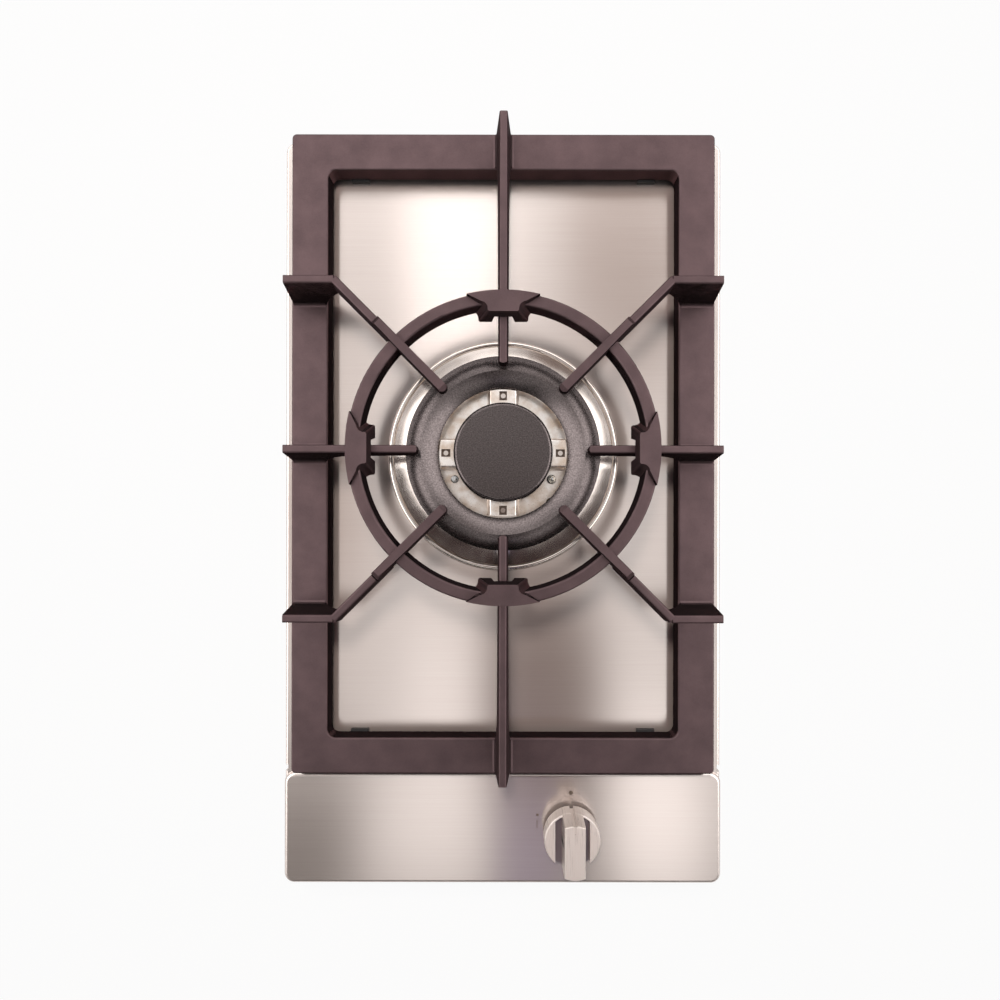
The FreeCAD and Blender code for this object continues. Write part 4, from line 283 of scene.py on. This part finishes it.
def black_cap_enamel():
    """Enamel fired on a pressed cap: brown black, with a graphite sheen on top and small specks."""
    # The dark tint takes the pale glint off faces that are seen edge on
    material, tree, surface = new_material("black_cap_enamel", Metallic=1.0, Specular_IOR_Level=0.0,
                                           Specular_Tint=colour("#0A0808"))
    spot = add(tree, "ShaderNodeTexCoord", "Object")
    peel = add(tree, "ShaderNodeTexNoise", "Fac", {"Vector": spot, "Scale": 1 / ENAMEL_PEEL, "Detail": 3.0})
    # Real specks are about 0.2 mm: they are drawn coarser, so that they show
    speck = add(tree, "ShaderNodeTexNoise", "Fac", {"Vector": spot, "Scale": 1 / ENAMEL_SPECK, "Detail": 1.0})
    tint = add(tree, "ShaderNodeValToRGB", "Color", {"Fac": speck}, [(0.35, "#4C4544"), (0.75, "#665D5C")])
    gloss = add(tree, "ShaderNodeMapRange", "Result",
                {"Value": peel, "From Min": LOW, "From Max": HIGH, "To Min": 0.22, "To Max": 0.32})
    skin = add(tree, "ShaderNodeBump", "Normal",
               {"Height": peel, "Distance": ENAMEL_PEEL_HEIGHT, "Strength": 1.0})
    wire(tree, surface, Base_Color=tint, Roughness=gloss, Normal=skin)
    return material


def cast_aluminium():
    """Die cast aluminium, tumbled and heat stained: pale metal with brown clouds, and painted shade on its
    recess floors.
    """
    material, tree, surface = new_material("cast_aluminium", Metallic=1.0)
    spot = add(tree, "ShaderNodeTexCoord", "Object")
    # Real tumbling marks are about 0.2 mm: they are drawn coarser, so that they show
    grain = add(tree, "ShaderNodeTexNoise", "Fac", {"Vector": spot, "Scale": 1 / TUMBLE_GRAIN, "Detail": 4.0})
    cloud = add(tree, "ShaderNodeTexNoise", "Fac", {"Vector": spot, "Scale": 1 / HEAT_STAIN, "Detail": 4.0})
    stain = add(tree, "ShaderNodeValToRGB", "Color", {"Fac": cloud}, [(0.34, "#CBB8A8"), (0.6, "#EBE3DD")])
    height = add(tree, "ShaderNodeSeparateXYZ", "Z", {"Vector": spot})
    # Painted shade: faces at the recess floor height get a dark brown, standing in for the shade inside the
    # recesses
    painted_recess_shade = add(tree, "ShaderNodeMath", "Value", {0: height, 1: RECESS_FLOOR, 2: RECESS_SHADE_REACH},
               operation="COMPARE")
    tint = add(tree, "ShaderNodeMix", 2, {0: painted_recess_shade, 6: stain, 7: colour("#5E5149")}, data_type="RGBA")
    gloss = add(tree, "ShaderNodeMapRange", "Result",
                {"Value": grain, "From Min": LOW, "From Max": HIGH, "To Min": 0.26, "To Max": 0.38})
    skin = add(tree, "ShaderNodeBump", "Normal",
               {"Height": grain, "Distance": TUMBLE_HEIGHT, "Strength": 1.0})
    wire(tree, surface, Base_Color=tint, Roughness=gloss, Normal=skin)
    return material


def satin_knob_metal():
    """Zinc casting, satin brushed and nickel plated: warm silver, with painted shade on the slot floors
    beside its grip.
    """
    # The satin brush scatters most of the light, so the knob is far from a mirror
    material, tree, surface = new_material("satin_knob_metal", Metallic=0.2)
    spot = add(tree, "ShaderNodeTexCoord", "Object")
    # Real satin lines are about 0.1 mm wide: these are drawn wider, so that they show
    stretched = add(tree, "ShaderNodeMapping", "Vector",
                    {"Vector": spot, "Scale": (1 / SATIN_WIDTH, 1 / SATIN_LENGTH, 1 / SATIN_LENGTH)})
    lines = add(tree, "ShaderNodeTexNoise", "Fac", {"Vector": stretched, "Scale": 1.0, "Detail": 3.0})
    silver = add(tree, "ShaderNodeValToRGB", "Color", {"Fac": lines}, [(LOW, "#EFE4DE"), (HIGH, "#F6EDE8")])
    facing = add(tree, "ShaderNodeTexCoord", "Normal")
    upward = add(tree, "ShaderNodeSeparateXYZ", "Z", {"Vector": facing})
    height = add(tree, "ShaderNodeSeparateXYZ", "Z", {"Vector": spot})
    # Painted shade: the upward faces at the slot floor height get a dark mauve grey, standing in for the
    # shade in the slots
    level = add(tree, "ShaderNodeMath", "Value", {0: height, 1: SLOT_FLOOR, 2: SLOT_SHADE_REACH},
                operation="COMPARE")
    painted_slot_shade = add(tree, "ShaderNodeMath", "Value", {0: level, 1: upward}, operation="MULTIPLY", use_clamp=True)
    tint = add(tree, "ShaderNodeMix", 2, {0: painted_slot_shade, 6: silver, 7: colour("#74686C")}, data_type="RGBA")
    gloss = add(tree, "ShaderNodeMapRange", "Result",
                {"Value": lines, "From Min": LOW, "From Max": HIGH, "To Min": 0.26, "To Max": 0.34})
    wire(tree, surface, Base_Color=tint, Roughness=gloss)
    return material


def galvanised_sheet():
    """Hot dip galvanised sheet: zinc crystals a few millimetres wide, each with its own grey."""
    material, tree, surface = new_material("galvanised_sheet", Metallic=1.0)
    spot = add(tree, "ShaderNodeTexCoord", "Object")
    crystal = add(tree, "ShaderNodeTexVoronoi", "Color", {"Vector": spot, "Scale": 1 / ZINC_CRYSTAL})
    shade = add(tree, "ShaderNodeSeparateColor", "Red", {"Color": crystal})
    tint = add(tree, "ShaderNodeValToRGB", "Color", {"Fac": shade}, [(0.0, "#AAACAD"), (1.0, "#BABCBD")])
    gloss = add(tree, "ShaderNodeMapRange", "Result", {"Value": shade, "To Min": 0.34, "To Max": 0.5})
    wave = add(tree, "ShaderNodeTexNoise", "Fac", {"Vector": spot, "Scale": 1 / ZINC_WAVE})
    skin = add(tree, "ShaderNodeBump", "Normal",
               {"Height": wave, "Distance": ZINC_WAVE_HEIGHT, "Strength": 1.0})
    wire(tree, surface, Base_Color=tint, Roughness=gloss, Normal=skin)
    return material


def zinc_plated_steel():
    """Turned or rolled steel with bright zinc plating: a cool, even shine with small scratches."""
    material, tree, surface = new_material("zinc_plated_steel", Metallic=1.0)
    spot = add(tree, "ShaderNodeTexCoord", "Object")
    # Real scratches are under 0.1 mm wide: these are drawn wider, so that they show
    stretched = add(tree, "ShaderNodeMapping", "Vector",
                    {"Vector": spot, "Scale": (1 / SCRATCH_WIDTH, 1 / SCRATCH_LENGTH, 1 / SCRATCH_WIDTH)})
    marks = add(tree, "ShaderNodeTexNoise", "Fac", {"Vector": stretched, "Scale": 1.0, "Detail": 4.0})
    tint = add(tree, "ShaderNodeValToRGB", "Color", {"Fac": marks}, [(LOW, "#B3B3B2"), (HIGH, "#D3D2D0")])
    gloss = add(tree, "ShaderNodeMapRange", "Result",
                {"Value": marks, "From Min": LOW, "From Max": HIGH, "To Min": 0.2, "To Max": 0.34})
    wire(tree, surface, Base_Color=tint, Roughness=gloss)
    return material


def machined_brass():
    """Bar brass turned on a lathe: yellow metal with fine tool marks and a little tarnish."""
    material, tree, surface = new_material("machined_brass", Metallic=1.0)
    spot = add(tree, "ShaderNodeTexCoord", "Object")
    tarnish = add(tree, "ShaderNodeTexNoise", "Fac",
                  {"Vector": spot, "Scale": 1 / TARNISH_PATCH, "Detail": 4.0})
    # Real tool marks are about 0.1 mm apart: these are drawn wider, so that they show
    pitch = (1 / TOOL_MARK_LENGTH, 1 / TOOL_MARK_WIDTH, 1 / TOOL_MARK_LENGTH)
    stretched = add(tree, "ShaderNodeMapping", "Vector", {"Vector": spot, "Scale": pitch})
    tool = add(tree, "ShaderNodeTexNoise", "Fac", {"Vector": stretched, "Scale": 1.0})
    tint = add(tree, "ShaderNodeValToRGB", "Color", {"Fac": tarnish}, [(LOW, "#B38F4B"), (HIGH, "#D9BD78")])
    gloss = add(tree, "ShaderNodeMapRange", "Result",
                {"Value": tool, "From Min": LOW, "From Max": HIGH, "To Min": 0.22, "To Max": 0.36})
    skin = add(tree, "ShaderNodeBump", "Normal",
               {"Height": tool, "Distance": TOOL_MARK_HEIGHT, "Strength": 1.0})
    wire(tree, surface, Base_Color=tint, Roughness=gloss, Normal=skin)
    return material


def moulded_rubber():
    """Moulded black rubber: dull, slightly grey, with a fine spark-eroded texture."""
    material, tree, surface = new_material("moulded_rubber")
    spot = add(tree, "ShaderNodeTexCoord", "Object")
    # The real texture is about 0.1 mm: it is drawn coarser, so that it shows
    skin = add(tree, "ShaderNodeTexNoise", "Fac", {"Vector": spot, "Scale": 1 / RUBBER_GRAIN, "Detail": 3.0})
    tint = add(tree, "ShaderNodeValToRGB", "Color", {"Fac": skin}, [(LOW, "#1C1A1A"), (HIGH, "#2A2727")])
    gloss = add(tree, "ShaderNodeMapRange", "Result",
                {"Value": skin, "From Min": LOW, "From Max": HIGH, "To Min": 0.68, "To Max": 0.8})
    grain = add(tree, "ShaderNodeBump", "Normal",
                {"Height": skin, "Distance": RUBBER_HEIGHT, "Strength": 1.0})
    wire(tree, surface, Base_Color=tint, Roughness=gloss, Normal=grain)
    return material


def sealing_foam():
    """Closed cell foam strip: dark grey with open pores where it was cut."""
    material, tree, surface = new_material("sealing_foam", Roughness=0.9)
    spot = add(tree, "ShaderNodeTexCoord", "Object")
    pores = add(tree, "ShaderNodeTexVoronoi", "Distance", {"Vector": spot, "Scale": 1 / FOAM_CELL})
    tint = add(tree, "ShaderNodeValToRGB", "Color", {"Fac": pores}, [(0.1, "#2A2A2B"), (0.8, "#4A4A4C")])
    cells = add(tree, "ShaderNodeBump", "Normal", {"Height": pores, "Distance": FOAM_DEPTH, "Strength": 1.0})
    wire(tree, surface, Base_Color=tint, Normal=cells)
    return material


def glazed_alumina():
    """Glazed alumina ceramic: cream white with a hard gloss and faint iron specks."""
    material, tree, surface = new_material("glazed_alumina", Roughness=0.18)
    spot = add(tree, "ShaderNodeTexCoord", "Object")
    speck = add(tree, "ShaderNodeTexNoise", "Fac",
                {"Vector": spot, "Scale": 1 / CERAMIC_SPECK, "Detail": 1.0})
    tint = add(tree, "ShaderNodeValToRGB", "Color", {"Fac": speck}, [(0.66, "#EFE9DE"), (0.74, "#B9A78F")])
    wire(tree, surface, Base_Color=tint)
    return material


def moulded_black_plastic():
    """Glass filled nylon, moulded: near black with a fine satin grain."""
    material, tree, surface = new_material("moulded_black_plastic")
    spot = add(tree, "ShaderNodeTexCoord", "Object")
    # The real grain is about 0.1 mm: it is drawn coarser, so that it shows
    grain = add(tree, "ShaderNodeTexNoise", "Fac",
                {"Vector": spot, "Scale": 1 / PLASTIC_GRAIN, "Detail": 3.0})
    tint = add(tree, "ShaderNodeValToRGB", "Color", {"Fac": grain}, [(LOW, "#222224"), (HIGH, "#333335")])
    gloss = add(tree, "ShaderNodeMapRange", "Result",
                {"Value": grain, "From Min": LOW, "From Max": HIGH, "To Min": 0.45, "To Max": 0.6})
    skin = add(tree, "ShaderNodeBump", "Normal",
               {"Height": grain, "Distance": PLASTIC_HEIGHT, "Strength": 1.0})
    wire(tree, surface, Base_Color=tint, Roughness=gloss, Normal=skin)
    return material


def green_circuit_board():
    """Epoxy glass board under green resist: a weave that shows faintly through the gloss."""
    material, tree, surface = new_material("green_circuit_board", Roughness=0.3)
    spot = add(tree, "ShaderNodeTexCoord", "Object")
    # The real weave is about 0.4 mm: it is drawn coarser, so that it shows
    weave = add(tree, "ShaderNodeTexChecker", "Fac", {"Vector": spot, "Scale": 1 / BOARD_WEAVE})
    tint = add(tree, "ShaderNodeValToRGB", "Color", {"Fac": weave}, [(0.0, "#1E5A34"), (1.0, "#246A3D")])
    wire(tree, surface, Base_Color=tint)
    return material


def plain_battery_sleeve():
    """Shrink sleeve on a dry cell: plain dark film with a soft gloss."""
    material, tree, surface = new_material("plain_battery_sleeve")
    spot = add(tree, "ShaderNodeTexCoord", "Object")
    film = add(tree, "ShaderNodeTexNoise", "Fac", {"Vector": spot, "Scale": 1 / SLEEVE_CLOUD})
    tint = add(tree, "ShaderNodeValToRGB", "Color", {"Fac": film}, [(LOW, "#2F3136"), (HIGH, "#3D4046")])
    gloss = add(tree, "ShaderNodeMapRange", "Result",
                {"Value": film, "From Min": LOW, "From Max": HIGH, "To Min": 0.25, "To Max": 0.35})
    wire(tree, surface, Base_Color=tint, Roughness=gloss)
    return material


def white_silicone():
    """Extruded silicone insulation: off white, waxy, slightly soiled."""
    material, tree, surface = new_material("white_silicone", Roughness=0.5)
    spot = add(tree, "ShaderNodeTexCoord", "Object")
    soil = add(tree, "ShaderNodeTexNoise", "Fac", {"Vector": spot, "Scale": 1 / SILICONE_SOIL, "Detail": 3.0})
    tint = add(tree, "ShaderNodeValToRGB", "Color", {"Fac": soil}, [(LOW, "#E6E1D8"), (HIGH, "#CFC8BB")])
    wire(tree, surface, Base_Color=tint)
    return material


def black_wire_insulation():
    """Extruded vinyl insulation: black with a low gloss."""
    material, tree, surface = new_material("black_wire_insulation")
    spot = add(tree, "ShaderNodeTexCoord", "Object")
    skin = add(tree, "ShaderNodeTexNoise", "Fac", {"Vector": spot, "Scale": 1 / VINYL_CLOUD})
    tint = add(tree, "ShaderNodeValToRGB", "Color", {"Fac": skin}, [(LOW, "#1F1F20"), (HIGH, "#2B2B2C")])
    gloss = add(tree, "ShaderNodeMapRange", "Result",
                {"Value": skin, "From Min": LOW, "From Max": HIGH, "To Min": 0.4, "To Max": 0.5})
    wire(tree, surface, Base_Color=tint, Roughness=gloss)
    return material


def drawn_copper():
    """Drawn copper tube: pink orange metal, darkened in patches."""
    material, tree, surface = new_material("drawn_copper", Metallic=1.0)
    spot = add(tree, "ShaderNodeTexCoord", "Object")
    patina = add(tree, "ShaderNodeTexNoise", "Fac",
                 {"Vector": spot, "Scale": 1 / PATINA_PATCH, "Detail": 3.0})
    tint = add(tree, "ShaderNodeValToRGB", "Color", {"Fac": patina}, [(LOW, "#A8643F"), (HIGH, "#D08C63")])
    gloss = add(tree, "ShaderNodeMapRange", "Result",
                {"Value": patina, "From Min": LOW, "From Max": HIGH, "To Min": 0.25, "To Max": 0.4})
    wire(tree, surface, Base_Color=tint, Roughness=gloss)
    return material


def screen_print_ink():
    """Screen printed ink: a thin dull brown grey film, a little uneven."""
    material, tree, surface = new_material("screen_print_ink", Roughness=0.55)
    spot = add(tree, "ShaderNodeTexCoord", "Object")
    film = add(tree, "ShaderNodeTexNoise", "Fac", {"Vector": spot, "Scale": 1 / INK_CLOUD})
    tint = add(tree, "ShaderNodeValToRGB", "Color", {"Fac": film}, [(LOW, "#5F5044"), (HIGH, "#6E6053")])
    wire(tree, surface, Base_Color=tint)
    return material


SLOT_FINISHES = {
    "brushed_stainless": brushed_stainless_sheet,
    "polished_stainless": polished_stainless,
    "cast_iron": enamelled_cast_iron,
    "black_enamel": black_cap_enamel,
    "cast_aluminium": cast_aluminium,
    "satin_metal": satin_knob_metal,
    "galvanised_steel": galvanised_sheet,
    "zinc_steel": zinc_plated_steel,
    "brass": machined_brass,
    "rubber": moulded_rubber,
    "seal_foam": sealing_foam,
    "white_ceramic": glazed_alumina,
    "dark_plastic": moulded_black_plastic,
    "circuit_board": green_circuit_board,
    "battery_sleeve": plain_battery_sleeve,
    "white_lead": white_silicone,
    "black_lead": black_wire_insulation,
    "copper": drawn_copper,
}


def dress(piece, material):
    """Give a piece one material all over."""
    piece.data.materials.clear()
    piece.data.materials.append(material)


def dress_nodes():
    """Give every CAD node the finish of its slot."""
    finishes = {slot: make() for slot, make in SLOT_FINISHES.items()}
    for part in frame["record"]["subparts"]:
        piece = frame["nodes"][part["node"]]
        for slot in piece.material_slots:
            slot.material = finishes[part["material_slot"]]


# Tap spring

def pressed_spring():
    """A copy of the spring under the knob, standing in for the CAD spring, which is hidden."""
    mesh = frame["nodes"]["tap_spring"].data.copy()
    spring = bpy.data.objects.new("pressed_tap_spring", mesh)
    bpy.context.collection.objects.link(spring)
    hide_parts("tap_spring")
    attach(spring, "hob")
    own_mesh(spring)


# Printed marks

def ink_film(name, outline):
    """A thin closed film of ink on the strip, from an outline of (x, y) points."""
    mesh = bmesh.new()
    low = [mesh.verts.new((x, y, STRIP_HEIGHT)) for x, y in outline]
    face = mesh.faces.new(low)
    grown = bmesh.ops.extrude_face_region(mesh, geom=[face])
    top = [part for part in grown["geom"] if isinstance(part, bmesh.types.BMVert)]
    bmesh.ops.translate(mesh, verts=top, vec=(0, 0, INK_THICK))
    bmesh.ops.recalc_face_normals(mesh, faces=mesh.faces)
    data = bpy.data.meshes.new(name)
    mesh.to_mesh(data)
    mesh.free()
    piece = bpy.data.objects.new(name, data)
    bpy.context.collection.objects.link(piece)
    return piece


def round_mark(name, place, radius):
    """A printed dot."""
    turns = [2 * math.pi * step / DOT_STEPS for step in range(DOT_STEPS)]
    outline = [(place[0] + radius * math.cos(turn), place[1] + radius * math.sin(turn)) for turn in turns]
    return ink_film(name, outline)


def line_mark(name, place, size):
    """A printed line along Y."""
    left = place[0] - size[0] / 2
    right = place[0] + size[0] / 2
    front = place[1] - size[1] / 2
    rear = place[1] + size[1] / 2
    return ink_film(name, [(left, front), (right, front), (right, rear), (left, rear)])


def printed_marks():
    """The marks round the knob, which stay with the plate."""
    ink = screen_print_ink()
    marks = [
        round_mark("printed_off_dot", OFF_DOT_PLACE, OFF_DOT_RADIUS),
        round_mark("printed_flame_dot", LOW_DOT_PLACE, LOW_DOT_RADIUS),
        line_mark("printed_flame_line", LOW_LINE_PLACE, LOW_LINE_SIZE),
    ]
    for mark in marks:
        dress(mark, ink)
        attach(mark, "hob")


# Studio

def floor():
    """A plain white floor just under the box, with a faint shadow. From below it is clear."""
    low = CAD_BOX[0][2] - FLOOR_DROP
    bpy.ops.mesh.primitive_plane_add(size=FLOOR_SIDE, location=(0, 0, low))
    plane = bpy.context.object
    plane.name = "studio_floor"
    material, tree, surface = new_material("studio_floor_paint", Roughness=0.9,
                                           Base_Color=colour(FLOOR_PAINT))
    seen = add(tree, "ShaderNodeLightPath", "Is Camera Ray")
    mirrored = add(tree, "ShaderNodeLightPath", "Is Glossy Ray")
    shown = add(tree, "ShaderNodeMath", "Value", {0: seen, 1: mirrored}, operation="MAXIMUM")
    share = add(tree, "ShaderNodeMath", "Value", {0: shown, 1: FLOOR_GLOW}, operation="MULTIPLY")
    glow = add(tree, "ShaderNodeEmission", "Emission", {"Color": colour(PURE_WHITE), "Strength": WHITE})
    mixed = add(tree, "ShaderNodeMixShader", "Shader", {"Fac": share, 1: surface.outputs["BSDF"], 2: glow})
    below = add(tree, "ShaderNodeNewGeometry", "Backfacing")
    clear = add(tree, "ShaderNodeBsdfTransparent", "BSDF")
    one_way = add(tree, "ShaderNodeMixShader", "Shader", {"Fac": below, 1: mixed, 2: clear})
    wire(tree, tree.nodes["Material Output"], Surface=one_way)
    dress(plane, material)


def world():
    """White round the scene for the eye and for reflections, and a low even fill for the rest."""
    sky = bpy.data.worlds.new("studio_world")
    bpy.context.scene.world = sky
    sky.use_nodes = True
    tree = sky.node_tree
    seen = add(tree, "ShaderNodeLightPath", "Is Camera Ray")
    mirrored = add(tree, "ShaderNodeLightPath", "Is Glossy Ray")
    through = add(tree, "ShaderNodeLightPath", "Is Transmission Ray")
    bounces = add(tree, "ShaderNodeLightPath", "Diffuse Depth")
    first = add(tree, "ShaderNodeMath", "Value", {0: bounces, 1: FIRST_BOUNCE}, operation="LESS_THAN")
    shown = add(tree, "ShaderNodeMath", "Value", {0: seen, 1: mirrored}, operation="MAXIMUM")
    clear = add(tree, "ShaderNodeMath", "Value", {0: shown, 1: through}, operation="MAXIMUM")
    direct = add(tree, "ShaderNodeMath", "Value", {0: clear, 1: first}, operation="MULTIPLY")
    strength = add(tree, "ShaderNodeMapRange", "Result",
                   {"Value": direct, "To Min": AMBIENT, "To Max": WHITE})
    background = tree.nodes["Background"]
    background.inputs["Color"].default_value = colour(PURE_WHITE)
    wire(tree, background, Strength=strength)


def softbox(name, spot, aim, size, power, tint):
    """A rectangular lamp that points at a spot."""
    lamp = bpy.data.lights.new(name, "AREA")
    lamp.shape = "RECTANGLE"
    lamp.size = size[0]
    lamp.size_y = size[1]
    lamp.energy = power
    lamp.color = colour(tint)[:3]
    holder = bpy.data.objects.new(name, lamp)
    holder.location = spot
    holder.rotation_euler = (Vector(aim) - Vector(spot)).to_track_quat("-Z", "Y").to_euler()
    bpy.context.collection.objects.link(holder)
    return holder


def soft_card(layer, name, plate_spot, plate_size, tint, strength, edge):
    """A soft-edged card overhead that only reflections see, placed by where the plate mirrors it."""
    height = CARD_HEIGHT + layer * CARD_STEP
    reach = 1 + height / CAMERA_DISTANCE
    place = (plate_spot[0] * MM * reach, plate_spot[1] * MM * reach, STEEL_HEIGHT + height)
    bpy.ops.mesh.primitive_plane_add(size=1.0, location=place)
    card = bpy.context.object
    card.name = name
    card.scale = (plate_size[0] * MM * reach, plate_size[1] * MM * reach, 1)
    material, tree, surface = new_material(name + "_paper")
    spot = add(tree, "ShaderNodeTexCoord", "Object")
    centred = add(tree, "ShaderNodeMapping", "Vector", {"Vector": spot, "Scale": (2, 2, 2)})
    middle = add(tree, "ShaderNodeTexGradient", "Fac", {"Vector": centred}, gradient_type="SPHERICAL")
    cover = add(tree, "ShaderNodeMapRange", "Result", {"Value": middle, "From Max": edge},
                interpolation_type="SMOOTHSTEP")
    bounces = add(tree, "ShaderNodeLightPath", "Diffuse Depth")
    first = add(tree, "ShaderNodeMath", "Value", {0: bounces, 1: FIRST_BOUNCE}, operation="LESS_THAN")
    shown = add(tree, "ShaderNodeMath", "Value", {0: cover, 1: first}, operation="MULTIPLY")
    clear = add(tree, "ShaderNodeBsdfTransparent", "BSDF")
    glow = add(tree, "ShaderNodeEmission", "Emission", {"Color": colour(tint), "Strength": strength})
    mixed = add(tree, "ShaderNodeMixShader", "Shader", {"Fac": shown, 1: clear, 2: glow})
    wire(tree, tree.nodes["Material Output"], Surface=mixed)
    dress(card, material)
    card.visible_camera = False
    card.visible_diffuse = False
    card.visible_shadow = False


def studio_lights():
    """A key above the rear edge, and the bright and dark patches that the metal mirrors."""
    key = softbox("rear_key", KEY_PLACE, KEY_AIM, KEY_SIZE, KEY_POWER, KEY_TINT)
    key.visible_glossy = False
    for layer, card in enumerate(CARDS):
        soft_card(layer, *card)


def camera():
    """Looks straight down with the photograph's framing."""
    lens = bpy.data.cameras.new("camera")
    lens.sensor_width = SENSOR
    lens.lens = SENSOR * CAMERA_DISTANCE / PIXEL_ON_STEEL / IMAGE_SIDE
    lens.shift_x = (IMAGE_SIDE / 2 - CENTRE_PIXEL[0]) / IMAGE_SIDE
    lens.shift_y = (CENTRE_PIXEL[1] - IMAGE_SIDE / 2) / IMAGE_SIDE
    lens.clip_start = CLIP_START
    holder = bpy.data.objects.new("camera", lens)
    holder.location = (0, 0, STEEL_HEIGHT + CAMERA_DISTANCE)
    holder.rotation_euler = (0, 0, CAMERA_TURN)
    bpy.context.collection.objects.link(holder)
    bpy.context.scene.camera = holder


camera()
dress_nodes()
pressed_spring()
printed_marks()
floor()
world()
studio_lights()
bpy.context.scene.view_settings.view_transform = "Standard"
